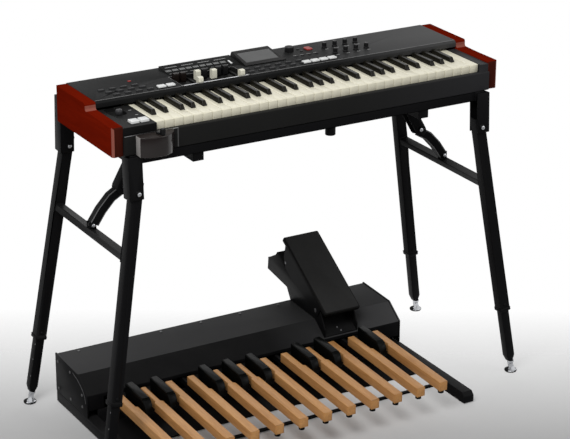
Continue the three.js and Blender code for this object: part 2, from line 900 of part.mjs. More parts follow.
function switchCase() {
  const shape = new THREE.Shape();
  const right = switchLeft + switchWidth;
  shape.moveTo(right, railFront);
  shape.lineTo(switchLeft, railFront);
  shape.lineTo(switchLeft, railFront - switchSideDepth);
  shape.bezierCurveTo(
    switchLeft + switchWidth * 0.28,
    railFront - switchReach * 1.17,
    right - switchWidth * 0.17,
    railFront - switchReach * 1.22,
    right,
    railFront
  );
  const body = outward(new THREE.ExtrudeGeometry(shape, {
    depth: switchHeight,
    bevelEnabled: false,
    curveSegments: roundFaces
  }).translate(0, 0, switchTop - switchHeight));
  return body;
}

const speedPivotY = railFront - leverSetback;

function speedLever() {
  const base = switchTop + fitGap;
  const hub = rodZ(leverWidth, base, base + leverThickness);
  const blade = slab(
    -leverWidth / 2,
    leverWidth / 2,
    -leverLength,
    0,
    base,
    base + leverThickness
  );
  const grip = slab(
    -leverWidth / 2,
    leverWidth / 2,
    -leverLength,
    -leverLength + leverWidth,
    base,
    base + leverThickness * 3
  );
  return at(join(hub, blade, grip), leverX, speedPivotY, 0);
}

// Bender lever that tips to the left and the right in its slot
const benderY = consoleFront + benderSetback;
const benderFloor = standTop + blockHeight - benderSlotDepth;
const benderStem = benderRadius * 0.7;

function benderLever() {
  const foot = benderFloor + fitGap;
  const profile = [[0, foot]];
  for (let i = 1; i <= cornerFaces; i += 1) {
    const angle = Math.PI * i / cornerFaces / 2;
    profile.push([benderStem * Math.sin(angle), foot + benderStem * (1 - Math.cos(angle))]);
  }
  profile.push(
    [benderStem, foot + benderSlotDepth * 0.8],
    [benderRadius, foot + benderSlotDepth],
    [benderRadius, foot + benderHeight * 0.85],
    [benderRadius * 0.6, foot + benderHeight],
    [0, foot + benderHeight]
  );
  return at(turned(profile), benderX, benderY, 0);
}

// Stand: rails, cross members, the channels that the legs hang in and a round knob, welded into one frame
const pivotZ = standTop - pivotDrop;
const footZ = footThickness;
const legDropX = (footSpanX - pivotSpanX) / 2;
const legDropY = (footSpanY - pivotSpanY) / 2;
const splayY = Math.atan2(legDropY, pivotZ - footZ);
const splayX = Math.atan2(legDropX, Math.hypot(legDropY, pivotZ - footZ));
const legLength = Math.hypot(legDropX, legDropY, pivotZ - footZ);
const channelHalf = legSize / 2 + fitGap * 2;
const corners = [
  ['front_left', -1, -1],
  ['front_right', 1, -1],
  ['rear_left', -1, 1],
  ['rear_right', 1, 1]
];

function pivotPoint(sideX, sideY) {
  return [sideX * pivotSpanX / 2, standMiddleY + sideY * pivotSpanY / 2, pivotZ];
}

// The frame of a leg's channel, which leans with the leg's fore-and-aft splay
function channelMatrix(sideX, sideY) {
  const matrix = new THREE.Matrix4().makeRotationX(splayY * sideY);
  return matrix.setPosition(...pivotPoint(sideX, sideY));
}

// The frame of the leg itself, with its axis along local Z
function legMatrix(sideX, sideY) {
  return channelMatrix(sideX, sideY).multiply(new THREE.Matrix4().makeRotationY(-splayX * sideX));
}

function legChannel(sideX, sideY) {
  const height = pivotDrop - bracketWall + (sideY > 0 ? rearUpstand : 0);
  const outer = bracketWeb + bracketWall;
  const inner = bracketLip;
  const y = channelHalf + bracketWall;
  const x0 = sideX > 0 ? -inner : -outer;
  const x1 = sideX > 0 ? outer : inner;
  const block = slab(x0, x1, -y, y, -bracketLap, height);
  const h0 = sideX > 0 ? -inner - overrun : -outer + bracketWall;
  const h1 = sideX > 0 ? outer - bracketWall : inner + overrun;
  const hollow = slab(h0, h1, -channelHalf, channelHalf, -bracketLap - overrun, height + overrun);
  const channel = cut(block, hollow);
  return join(channel, boltY(0, 0, -y, y)).applyMatrix4(channelMatrix(sideX, sideY));
}

const stayEyeX = crossMemberX + stayTopInset;
const stayEyeZ = standTop - standRailHeight - stayTopDrop;
const stayKnuckleZ = standTop - stayKnuckleDrop;
const railHalfX = pivotSpanX / 2;
const frontRailY = railFront + railEdgeRadius / 2;
const rearRailY = standMiddleY * 2 - frontRailY;

// Ears beside a cross member, on both sides of the stay
function stayEars(sideX) {
  const inner = sideX * crossMemberX;
  const outer = sideX * (stayEyeX + channelWidth / 2);
  return [-1, 1].map((side) => {
    const y0 = standMiddleY + side * (stayWidth / 2 + fitGap);
    const y1 = y0 + side * stayWall;
    const plate = slab(
      Math.min(inner, outer),
      Math.max(inner, outer),
      Math.min(y0, y1),
      Math.max(y0, y1),
      stayEyeZ - channelWidth / 2,
      standTop - standRailHeight
    );
    return cut(plate, rodY(boltRadius + fitGap, sideX * stayEyeX, y0 - overrun * 2, y0 + overrun * 2, stayEyeZ));
  });
}

function standFrame() {
  const low = standTop - standRailHeight;
  const endHalf = standRailDepth / 2;
  const endX = pivotSpanX / 2;
  const channelFront = pivotPoint(1, -1)[1] + channelHalf;
  const channelRear = pivotPoint(1, 1)[1] - channelHalf;
  const pieces = [
    slab(-railHalfX, railHalfX, frontRailY, frontRailY + standRailDepth, low, standTop),
    slab(-railHalfX, railHalfX, rearRailY - standRailDepth, rearRailY, low, standTop)
  ];
  for (const side of [-1, 1]) {
    const x = side * endX;
    const y0 = channelFront - legDropY / 2;
    const y1 = channelRear + legDropY / 2;
    pieces.push(slab(x - endHalf, x + endHalf, y0, y1, low + sideRailInset, standTop - sideRailInset));
    const crossX = side * crossMemberX;
    const crossHalf = crossMemberWidth / 2;
    const crossLow = low - crossMemberHeight;
    pieces.push(slab(
      crossX - crossHalf,
      crossX + crossHalf,
      frontRailY + bracketWall,
      rearRailY,
      crossLow,
      low + overrun
    ));
    pieces.push(...stayEars(side));
  }
  for (const [, sideX, sideY] of corners) {
    pieces.push(legChannel(sideX, sideY));
  }
  const underKnob = rodZ(underKnobRadius, low - underKnobHeight, low + overrun, fineFaces);
  pieces.push(at(underKnob, underKnobX, frontRailY + endHalf, 0));
  return join(...pieces);
}

// Upper part of each leg: a square tube with a collar at its lower end
function outerLeg(sideX, sideY) {
  const half = legSize / 2;
  const bottom = -outerLegLength;
  const tube = slab(-half, half, -half, half, bottom, legTop);
  const collarHalf = half + collarWall;
  const collar = slab(-collarHalf, collarHalf, -collarHalf, collarHalf, bottom, bottom + collarHeight);
  const bore = half - legWall;
  const hollow = slab(-bore, bore, -bore, bore, bottom - overrun, legTop + overrun);
  const pivotHole = rodY(boltRadius + fitGap, 0, -legSize, legSize, 0);
  const leg = cut(join(tube, collar), hollow, pivotHole);
  return leg.applyMatrix4(legMatrix(sideX, sideY));
}

// Crossbar between the front and the rear leg of one side, with ears for the stay
const crossbarX = pivotSpanX / 2 + crossbarDrop * Math.sin(splayX);
const crossbarZ = pivotZ - crossbarDrop * Math.cos(splayX) * Math.cos(splayY);
const stayFootX = crossbarX;
const stayFootZ = crossbarZ + crossbarSize / 2 + stayEyeRise;

function crossbar(sideX) {
  const half = crossbarSize / 2;
  const reach = pivotSpanY / 2 + crossbarDrop * Math.sin(splayY);
  const bar = slab(-half, half, -reach, reach, -half, half);
  bar.rotateY(-splayX * sideX);
  bar.translate(sideX * crossbarX, standMiddleY, crossbarZ);
  const ears = [-1, 1].map((side) => {
    const y0 = standMiddleY + side * (armThickness / 2 + fitGap);
    const y1 = y0 + side * stayWall;
    const plate = slab(
      sideX * stayFootX - stayEyeRise,
      sideX * stayFootX + stayEyeRise,
      Math.min(y0, y1),
      Math.max(y0, y1),
      crossbarZ,
      stayFootZ + stayEyeRise
    );
    return cut(plate, rodY(boltRadius + fitGap, sideX * stayFootX, y0 - overrun * 2, y0 + overrun * 2, stayFootZ));
  });
  return join(bar, ...ears);
}

// Both outer tubes of one side with their crossbar and the screws that clamp the lower parts
function legFrame(sideX) {
  const tubes = [-1, 1].map((sideY) => join(outerLeg(sideX, sideY), clampScrew(sideX, sideY)));
  const bore = legSize / 2 - legWall;
  const hollows = [-1, 1].map((sideY) => {
    return slab(-bore, bore, -bore, bore, -crossbarDrop * 2, 0).applyMatrix4(legMatrix(sideX, sideY));
  });
  return join(...tubes, cut(crossbar(sideX), ...hollows));
}

// A link outline in X and Z between two eyes, with round ends and a bow to one side
function linkOutline(x0, z0, x1, z1, half, bow) {
  const along = Math.atan2(z1 - z0, x1 - x0);
  const nx = -Math.sin(along);
  const nz = Math.cos(along);
  const middleX = (x0 + x1) / 2 + nx * bow * 2;
  const middleZ = (z0 + z1) / 2 + nz * bow * 2;
  const shape = new THREE.Shape();
  shape.moveTo(x0 + nx * half, z0 + nz * half);
  shape.absarc(x0, z0, half, along + Math.PI / 2, along + Math.PI * 1.5);
  shape.quadraticCurveTo(middleX - nx * half, middleZ - nz * half, x1 - nx * half, z1 - nz * half);
  shape.absarc(x1, z1, half, along - Math.PI / 2, along + Math.PI / 2);
  shape.quadraticCurveTo(middleX + nx * half, middleZ + nz * half, x0 + nx * half, z0 + nz * half);
  return shape;
}

// Upper half of a folding stay: a channel that the lower arm lies in at the knuckle
function stayChannel() {
  const run = Math.hypot(stayKnuckleX - stayEyeX, stayEyeZ - stayKnuckleZ);
  const lengthen = (run + stayOverlap) / run;
  const endX = stayEyeX + (stayKnuckleX - stayEyeX) * lengthen;
  const endZ = stayEyeZ + (stayKnuckleZ - stayEyeZ) * lengthen;
  const half = stayWidth / 2 - fitGap;
  const outline = linkOutline(stayEyeX, stayEyeZ, endX, endZ, channelWidth / 2, 0);
  const body = prismY(outline, -half, half);
  const angle = Math.atan2(stayKnuckleZ - stayEyeZ, stayKnuckleX - stayEyeX);
  const pocket = slab(
    -channelWidth,
    run * 2,
    -half + stayWall,
    half - stayWall,
    -channelWidth,
    channelWidth / 2 - stayWall
  );
  pocket.rotateY(-angle);
  return cut(body, at(pocket, stayEyeX, 0, stayEyeZ));
}

// Lower half of a folding stay: a bowed flat arm
function stayArm() {
  const half = armThickness / 2;
  return prismY(linkOutline(
    stayKnuckleX,
    stayKnuckleZ,
    stayFootX,
    stayFootZ,
    armWidth / 2,
    armBow
  ), -half, half);
}

// One folding stay, locked straight, with its bolts
function stay(sideX) {
  const eye = stayWidth / 2 + stayWall + fitGap * 2;
  const knuckle = stayWidth / 2 - fitGap;
  const foot = armThickness / 2 + stayWall + fitGap * 2;
  const body = join(
    stayChannel(),
    stayArm(),
    boltY(stayEyeX, stayEyeZ, -eye, eye),
    boltY(stayKnuckleX, stayKnuckleZ, -knuckle, knuckle),
    boltY(stayFootX, stayFootZ, -foot, foot)
  );
  const placed = at(body, 0, standMiddleY, 0);
  return sideX > 0 ? placed : outward(placed.scale(-1, 1, 1));
}

// A bolt along Y with a domed head at its front end and a nut at its rear end
function boltY(x, z, y0, y1) {
  const head = boltHeadHeight;
  const bolt = turned([
    [0, y0 - head],
    [boltHeadRadius * 0.6, y0 - head],
    [boltHeadRadius, y0 - head / 3],
    [boltHeadRadius, y0],
    [boltRadius, y0],
    [boltRadius, y1],
    [boltHeadRadius, y1],
    [boltHeadRadius, y1 + head],
    [0, y1 + head]
  ], boltFaces);
  return bolt.rotateX(-Math.PI / 2).translate(x, 0, z);
}

// Low screw on the front face of a leg's tube, which clamps the lower part
function clampScrew(sideX, sideY) {
  const wall = legSize / 2;
  const screw = turned([
    [0, wall - legWall / 2],
    [boltRadius, wall - legWall / 2],
    [boltRadius, wall + legWall / 2],
    [boltRadius * 0.6, wall + legWall],
    [0, wall + legWall]
  ], boltFaces);
  screw.rotateX(Math.PI / 2);
  screw.translate(0, 0, -outerLegLength + collarHeight * 2);
  return screw.applyMatrix4(legMatrix(sideX, sideY));
}

// Lower part of a leg: a smaller tube with a tapered end, a threaded stem and a disc foot that lies flat
function innerLeg(sideX, sideY) {
  const half = legSize / 2 - legWall - fitGap;
  const top = -outerLegLength + innerLegLap;
  const taperEnd = -legLength + footDomeHeight + stemRadius;
  const taperStart = taperEnd + legTaper;
  const tube = slab(-half, half, -half, half, taperStart, top);
  const tip = new THREE.CylinderGeometry(half * Math.SQRT2, stemRadius * 2, legTaper, 4);
  tip.rotateX(Math.PI / 2);
  tip.rotateZ(Math.PI / 4);
  tip.translate(0, 0, taperStart - legTaper / 2);
  const stem = rodZ(stemRadius, -legLength, taperStart);
  const disc = turned([
    [0, -footThickness],
    [footRadius * 0.9, -footThickness],
    [footRadius, -footThickness * 0.6],
    [footRadius, 0],
    [footDomeRadius, footDomeHeight / 3],
    [stemRadius, footDomeHeight],
    [0, footDomeHeight]
  ], fineFaces);
  const level = new THREE.Matrix4().extractRotation(legMatrix(sideX, sideY)).invert();
  disc.applyMatrix4(level);
  disc.translate(0, 0, -legLength);
  return join(tube, tip, stem, disc).applyMatrix4(legMatrix(sideX, sideY));
}

// Pedalboard
const boardHalf = pedalboardWidth / 2;
const boardLeft = pedalMiddleX - boardHalf;
const boardRight = pedalMiddleX + boardHalf;
const firstNaturalX = pedalMiddleX - pedalGroupOffset - pedalPitch * (naturalCount - 1) / 2;
const naturalBackY = naturalFrontY + naturalLength;
const pedalRootZ = naturalFrontZ - naturalHeight - fitGap;
const sharpPositions = [1, 2, 4, 5, 6, 8, 9, 11];

// Height of the wooden pedals' underside at a given depth
function underside(y) {
  return pedalRootZ + (y - naturalFrontY) * pedalSlopeShare;
}

const pedalPivotZ = underside(pedalPivotY) - pedalArmHeight;
const baseTop = baseFeetHeight + basePlateWall;

// Bent sheet housing that covers the pedals' pivots, with an end plate and a filler at each side
function pedalHousing() {
  const w = housingWall;
  const e = endPlateWall / 2;
  const outline = [
    [housingLipY, housingLipZ - housingLipDepth],
    [housingLipY, housingLipZ],
    [housingBendY, housingBendZ],
    [housingBackY, housingBackZ],
    [housingBackY, housingBottomZ + e],
    [housingBackY - w, housingBottomZ + e],
    [housingBackY - w, housingBackZ - w],
    [housingBendY + w / 2, housingBendZ - w],
    [housingLipY + w, housingLipZ - w],
    [housingLipY + w, housingLipZ - housingLipDepth]
  ];
  const plate = [
    [housingLipY - e, housingBottomZ],
    [housingLipY - e, housingLipZ + e],
    [housingBendY - e, housingBendZ + e],
    [housingBackY + e, housingBackZ + e],
    [housingBackY + e, housingBottomZ]
  ];
  const shell = prismX(outline, boardLeft + e, boardRight - e);
  const fillerLow = housingSillZ + fitGap;
  const fillerHigh = housingLipZ - housingLipDepth / 2;
  const leftEnd = firstNaturalX - naturalWidth / 2 - housingEndClear;
  const rightEnd = firstNaturalX + pedalPitch * (naturalCount - 1) + naturalWidth / 2 + housingEndClear;
  return join(
    shell,
    slab(boardLeft + e, leftEnd, housingLipY, housingLipY + w, fillerLow, fillerHigh),
    slab(rightEnd, boardRight - e, housingLipY, housingLipY + w, fillerLow, fillerHigh),
    prismX(plate, boardLeft, boardLeft + endPlateWall),
    prismX(plate, boardRight - endPlateWall, boardRight)
  );
}

// Base plate with side rails, front bar, pivot rail and rubber feet
function pedalFrame() {
  const railTop = housingBottomZ - fitGap;
  const sideOutline = [
    [sideRailFrontY, baseFeetHeight],
    [housingBackY, baseFeetHeight],
    [housingBackY, railTop],
    [sideRailFrontY + sideRailChamfer, railTop],
    [sideRailFrontY, railTop - sideRailChamfer]
  ];
  const rodMiddle = pedalPivotZ - fitGap - pedalRodRadius;
  const innerLeft = boardLeft + sideRailWidth;
  const innerRight = boardRight - sideRailWidth;
  const pieces = [
    prismX(sideOutline, boardLeft, innerLeft),
    prismX(sideOutline, innerRight, boardRight),
    slab(innerLeft - overrun, innerRight + overrun, basePlateFrontY, housingBackY, baseFeetHeight, baseTop),
    slab(
      innerLeft - overrun,
      innerRight + overrun,
      frontBarY,
      frontBarY + frontBarDepth,
      baseFeetHeight,
      baseFeetHeight + frontBarHeight
    ),
    slab(
      innerLeft,
      innerRight,
      pedalPivotY - pedalRodRadius / 2,
      pedalPivotY + pedalRodRadius / 2,
      baseFeetHeight,
      rodMiddle
    ),
    slab(
      innerLeft,
      innerRight,
      housingLipY + fitGap,
      housingLipY + fitGap + basePlateWall,
      baseFeetHeight,
      housingSillZ
    ),
    rodX(pedalRodRadius, innerLeft, innerRight, pedalPivotY, rodMiddle)
  ];
  const footRows = [
    [boardLeft + sideRailWidth / 2, sideRailFrontY],
    [pedalMiddleX, basePlateFrontY],
    [boardRight - sideRailWidth / 2, sideRailFrontY]
  ];
  for (const [x, front] of footRows) {
    for (const y of [front + baseFootRadius * 2, housingBackY - baseFootRadius * 2]) {
      pieces.push(at(rodZ(baseFootRadius, 0, baseFeetHeight + basePlateWall / 2), x, y, 0));
    }
  }
  return join(...pieces);
}

// Steel arm under a pedal, from below the wood to the pivot
function pedalArm() {
  const y0 = naturalBackY - pedalArmLap;
  const y1 = pedalPivotY + pedalRodRadius;
  const h = pedalArmHeight;
  const outline = [
    [y0, underside(y0) - h],
    [y1, underside(y1) - h],
    [y1, underside(y1)],
    [y0, underside(y0)]
  ];
  return prismX(outline, -pedalArmWidth / 2, pedalArmWidth / 2);
}

function slopedBar(y0, y1, height) {
  const z0 = underside(y0) - fitGap;
  const z1 = underside(y1) - fitGap;
  return [[y0, z0], [y1, z1], [y1, z1 + height], [y0, z0 + height]];
}

// Wooden pedal with chamfered top edges, notched beside its raised neighbours
function naturalPedal(index) {
  const half = naturalWidth / 2;
  const bar = prismX(slopedBar(naturalFrontY, naturalBackY, naturalHeight), -half, half);
  const left = half - (sharpPositions.includes(index) ? naturalNotch : 0);
  const right = half - (sharpPositions.includes(index + 1) ? naturalNotch : 0);
  const notchY = naturalBackY - naturalNotchLength;
  const plan = [
    [-half + naturalEdge, naturalFrontY],
    [half - naturalEdge, naturalFrontY],
    [half, naturalFrontY + naturalEdge],
    [half, notchY],
    [right, notchY + naturalNotch],
    [right, naturalBackY],
    [-left, naturalBackY],
    [-left, notchY + naturalNotch],
    [-half, notchY],
    [-half, naturalFrontY + naturalEdge]
  ];
  const clean = plan.filter(([x, y], i) => i === 0 || x !== plan[i - 1][0] || y !== plan[i - 1][1]);
  const wood = meet(bar, prismZ(clean, 0, naturalFrontZ * 2));
  const bumperY = naturalFrontY + bumperInset;
  const bumperTop = underside(bumperY) + bumperRadius / 2;
  const bumper = at(rodZ(bumperRadius, bumperTop - bumperHeight, bumperTop, cornerFaces * 3), 0, bumperY, 0);
  return [wood, pedalArm(), bumper].map((piece) => at(piece, firstNaturalX + pedalPitch * index, 0, 0));
}

// Raised black pedal with a rounded nose
function sharpPedal(position) {
  const back = naturalBackY + sharpSetback;
  const front = back - sharpLength;
  const foot = underside(front) - fitGap;
  const footBack = underside(back) - fitGap;
  const shape = new THREE.Shape();
  shape.moveTo(front, foot);
  shape.lineTo(back, footBack);
  shape.lineTo(back, footBack + sharpHeight);
  shape.lineTo(front + sharpRise, foot + sharpHeight);
  shape.quadraticCurveTo(front + sharpRise / 4, foot + sharpHeight, front, foot + sharpRise);
  const body = prismX(shape, -sharpWidth / 2, sharpWidth / 2);
  const r = sharpWidth / 4;
  const endOutline = roundedOutline(-sharpWidth / 2, sharpWidth / 2, 0, footBack + sharpHeight, r);
  const shaped = meet(body, prismY(endOutline, front - overrun, back + overrun));
  const x = firstNaturalX + pedalPitch * (position - 0.5);
  return [shaped, pedalArm()].map((piece) => at(piece, x, 0, 0));
}

// A hidden bar under the arms couples the pedals of one group
function coupledPedals(pieces, xs, place) {
  const y = housingLipY + pedalCouplerSetback + pedalCouplerPitch * place;
  const half = pedalCouplerWidth / 2;
  const armLow = underside(y) - pedalArmHeight;
  const top = armLow - pedalCouplerDrop;
  const bar = slab(Math.min(...xs) - half, Math.max(...xs) + half, y - half, y + half, top - half * 2, top);
  const posts = xs.map((x) => slab(x - half, x + half, y - half, y + half, top - half, armLow + half));
  return join(...pieces, bar, ...posts);
}

function naturalGroup(remainder) {
  const pieces = [];
  const xs = [];
  for (let index = remainder; index < naturalCount; index += 2) {
    pieces.push(...naturalPedal(index));
    xs.push(firstNaturalX + pedalPitch * index);
  }
  return coupledPedals(pieces, xs, remainder);
}

function sharpGroup() {
  const xs = sharpPositions.map((i) => firstNaturalX + pedalPitch * (i - 0.5));
  return coupledPedals(sharpPositions.flatMap(sharpPedal), xs, 2);
}

// Expression pedal: a tread with side skirts, rocking between the side plates of its bracket
const treadPivotZ = housingBendZ + treadPivotRise;
const plateHalf = treadWidth / 2 - treadLugWall - fitGap;

function bracketOutline() {
  const skin = fitGap;
  return [
    [housingLipY + housingWall, housingLipZ + sheetWall],
    [housingBendY, housingBendZ + skin],
    [housingBackY - housingWall, housingBackZ + skin],
    [housingBackY + treadWidth * 0.16, housingBendZ + treadWidth / 3],
    [housingBackY + earReach, housingBendZ + treadWidth * 0.48],
    [housingBackY + earReach * 0.97, housingBendZ + treadWidth * 0.79],
    [housingBackY + earReach * 0.64, housingBendZ + treadWidth],
    [housingBackY + earReach * 0.57, housingBendZ + treadWidth * 1.1],
    [housingBackY + earReach * 0.17, housingBendZ + treadWidth * 0.78],
    [treadPivotY + earRadius, treadPivotZ + earRadius],
    [treadPivotY - earRadius, treadPivotZ + earRadius * 0.8],
    [housingLipY, housingLipZ + earRadius * 1.7]
  ];
}

function expressionBracket() {
  const plates = [-1, 1].map((side) => {
    const x0 = treadMiddleX + side * plateHalf;
    const x1 = x0 - side * bracketPlateWall;
    const plate = prismX(bracketOutline(), Math.min(x0, x1), Math.max(x0, x1));
    return cut(plate, rodX(boltRadius + fitGap, x0 - earRadius, x0 + earRadius, treadPivotY, treadPivotZ));
  });
  const w = bracketPlateWall;
  const [lip, bend, back, , ear, earTop] = bracketOutline();
  const base = [lip, bend, back, [back[0], back[1] + w], [bend[0] - w / 2, bend[1] + w], [lip[0], lip[1] + w]];
  const end = [ear, [ear[0], earTop[1]], [ear[0] - w, earTop[1]], [ear[0] - w, ear[1] - w / 2]];
  const left = treadMiddleX - plateHalf + w / 2;
  const right = treadMiddleX + plateHalf - w / 2;
  return join(...plates, prismX(base, left, right), prismX(end, left, right));
}

// Side skirt in the tread's own frame, from its underside down round the pivot and along to the toe end
function treadSkirt() {
  const under = treadPivotDepth - treadThickness / 2;
  const toe = treadLength - treadHeelLap - treadThickness / 2;
  const shape = new THREE.Shape();
  shape.moveTo(toe, under);
  shape.lineTo(-earRadius, under);
  shape.lineTo(-earRadius, 0);
  shape.absarc(0, 0, earRadius, Math.PI, Math.PI * 1.8);
  shape.lineTo(toe * 0.8, -earRadius * 2.2);
  shape.lineTo(toe, -earRadius * 1.6);
  return shape;
}

function expressionTread() {
  const half = treadWidth / 2;
  const plan = roundedOutline(
    treadMiddleX - half,
    treadMiddleX + half,
    -treadHeelLap,
    treadLength - treadHeelLap,
    treadThickness / 2
  );
  const plate = prismZ(plan, treadPivotDepth - treadThickness, treadPivotDepth);
  const sides = [-1, 1].map((side) => {
    const x0 = treadMiddleX + side * half;
    const x1 = treadMiddleX + side * (plateHalf + fitGap);
    return prismX(treadSkirt(), Math.min(x0, x1), Math.max(x0, x1));
  });
  const pin = rodX(boltRadius, treadMiddleX - half + fitGap, treadMiddleX + half - fitGap, 0, 0);
  const tread = join(plate, pin, ...sides);
  tread.rotateX(treadAngle);
  return tread.translate(0, treadPivotY, treadPivotZ);
}

put('left_cheek', cheek(-1), paint.wood);
put('right_cheek', cheek(1), paint.wood);
put('chassis', chassis(), paint.blackMetal);
put('front_rail', frontRail(), paint.blackMetal);
put('top_panel', topPanel(), paint.panel);
put('left_key_block', leftBlock(), paint.darkPlastic);
noteNames.forEach((name, step) => {
  put(`keys_${name}`, keyGroup(step), step in blackShiftShares ? paint.black : paint.white);
});
put('drawbar_well', drawbarWell(), paint.darkPlastic);
pulledShares.forEach((share, i) => {
  put(`drawbar_${i + 1}`, drawbar(i, share), paint[drawbarColors[i]]);
});
put('display_housing', displayHousing(), paint.darkPlastic);
put('display_screen', displayScreen(), paint.screen);
for (let i = 0; i < 8; i += 1) {
  const [x, y] = knobPlace(i);
  put(`knob_${i + 1}`, knob(x, y, knobRadius, knobHeight, panelTop + fitGap), paint.darkPlastic);
}
put('value_dial', dial(), paint.darkPlastic);
put('left_buttons', buttonMat(leftTabs, leftButtons), paint.darkPlastic);
put('middle_buttons', buttonMat(rightTabs, middleButtons), paint.darkPlastic);
put('speed_switch_case', switchCase(), paint.darkPlastic);
put('speed_lever', speedLever(), paint.darkPlastic);
put('bender_lever', benderLever(), paint.darkPlastic);
put('stand_frame', standFrame(), paint.tube);
put('left_leg_frame', legFrame(-1), paint.tube);
put('right_leg_frame', legFrame(1), paint.tube);
put('left_stay', stay(-1), paint.tube);
put('right_stay', stay(1), paint.tube);
for (const [name, sideX, sideY] of corners) {
  put(`inner_leg_${name}`, innerLeg(sideX, sideY), paint.tube);
}
put('pedal_housing', pedalHousing(), paint.blackMetal);
put('pedal_frame', pedalFrame(), paint.blackMetal);
put('natural_pedals_1', naturalGroup(0), paint.maple);
put('natural_pedals_2', naturalGroup(1), paint.maple);
put('sharp_pedals', sharpGroup(), paint.black);
put('expression_bracket', expressionBracket(), paint.blackMetal);
put('expression_tread', expressionTread(), paint.darkPlastic);

// The origin lies on the floor under the middle of the whole object
assembly.position.y = -(naturalFrontY + housingBackY + earReach) / 2;

export default organ;
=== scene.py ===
import math

import bmesh
import bpy
from mathutils import Matrix, Vector


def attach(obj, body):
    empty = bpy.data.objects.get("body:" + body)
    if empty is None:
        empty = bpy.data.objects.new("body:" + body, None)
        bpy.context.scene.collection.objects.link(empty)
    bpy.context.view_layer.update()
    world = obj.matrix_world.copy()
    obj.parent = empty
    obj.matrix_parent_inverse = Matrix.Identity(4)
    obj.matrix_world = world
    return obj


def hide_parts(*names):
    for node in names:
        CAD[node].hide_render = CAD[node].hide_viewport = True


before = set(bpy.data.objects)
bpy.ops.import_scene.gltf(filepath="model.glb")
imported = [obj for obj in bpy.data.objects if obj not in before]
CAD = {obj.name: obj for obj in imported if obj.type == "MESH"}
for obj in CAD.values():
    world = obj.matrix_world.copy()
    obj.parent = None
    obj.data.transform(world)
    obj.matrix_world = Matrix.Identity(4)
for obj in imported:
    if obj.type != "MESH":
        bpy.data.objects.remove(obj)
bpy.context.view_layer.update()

MM = 0.001
CONSOLE = "console"
PEDALBOARD = "pedalboard"
TREAD = "expression_tread"

# Places that the pieces share, in millimetres, in the model's own frame
SHIFT_Y = 9.25
PANEL_TOP = 820.0
PANEL_FRONT = -34.5 + SHIFT_Y
INNER_HALF = 475.0
RAIL_FRONT = -175.0 + SHIFT_Y
WELL = (-256.0, -90.0)
WEDGE_FRONT = 49.8 + SHIFT_Y
WEDGE_BACK = 107.0 + SHIFT_Y
WEDGE_RISE = 7.0
BLOCK_TOP = 799.0
# Clearance of what moves
SEAT = 0.3
DRAWBAR_FIRST = -245.0
DRAWBAR_PITCH = 18.0
KNOB_FIRST = 169.0
KNOB_PITCH = 28.5
KNOB_ROWS = (69.0 + SHIFT_Y, 19.0 + SHIFT_Y)
DIAL = (82.0, 84.0 + SHIFT_Y)
TAB_ROW = -13.0 + SHIFT_Y
TAB_PITCH = 23.0
LEFT_TAB = -303.0
RIGHT_TAB = 72.0
BUTTON_PITCH = 27.5
ROW_PITCH = 21.0
BOARD_LEFT = -495.4
BOARD_RIGHT = 372.6


# Node tools

def new_group(name, inputs, outputs):
    """A shader group with named inputs, each with its usual value, and named outputs."""
    tree = bpy.data.node_groups.new(name, "ShaderNodeTree")
    for label, kind, value in inputs:
        socket = tree.interface.new_socket(name=label, in_out="INPUT", socket_type=kind)
        socket.default_value = value
    for label, kind in outputs:
        tree.interface.new_socket(name=label, in_out="OUTPUT", socket_type=kind)
    return tree, add(tree, "NodeGroupInput").outputs, add(tree, "NodeGroupOutput")


def add(tree, kind, settings=None, **inputs):
    """Adds a node with its settings and inputs."""
    made = tree.nodes.new(kind)
    for key, value in (settings or {}).items():
        setattr(made, key, value)
    for key, value in inputs.items():
        plug(tree, made, key.replace("_", " "), value)
    return made


def plug(tree, made, key, value):
    """Links a socket or sets a plain value; i and a number stand for an input's place."""
    socket = made.inputs[int(key[1:])] if key[:1] == "i" and key[1:].isdigit() else made.inputs[key]
    if isinstance(value, bpy.types.NodeSocket):
        tree.links.new(value, socket)
    else:
        socket.default_value = value


def math_node(tree, operation, first, second):
    return add(tree, "ShaderNodeMath", {"operation": operation}, i0=first, i1=second).outputs[0]


def times(tree, first, second):
    return math_node(tree, "MULTIPLY", first, second)


def plus(tree, first, second):
    return math_node(tree, "ADD", first, second)


def mix_color(tree, factor, first, second):
    made = add(tree, "ShaderNodeMix", {"data_type": "RGBA"}, i0=factor, i6=first, i7=second)
    return made.outputs[2]


def noise(tree, vector, scale, detail=3.0, distortion=0.0):
    made = add(tree, "ShaderNodeTexNoise", Vector=vector, Scale=scale, Detail=detail,
               Distortion=distortion)
    return made.outputs["Fac"]


def own_spot(tree):
    """The place on a piece, in its own coordinates."""
    return add(tree, "ShaderNodeTexCoord").outputs["Object"]


COLOR = "NodeSocketColor"
NUMBER = "NodeSocketFloat"
VECTOR = "NodeSocketVector"

# Share of the fine grain in the mottle, and the mean value of both noises together
GRAIN_SHARE = 0.35
MOTTLE_MEAN = 0.67

# Shares of the wood's rings, its fibres and a slow change, and the span that their sum covers
RING_SHARE = 0.6
FIBRE_SHARE = 0.4
SLOW_SHARE = 0.2
WOOD_SPAN = (0.42, 0.78)


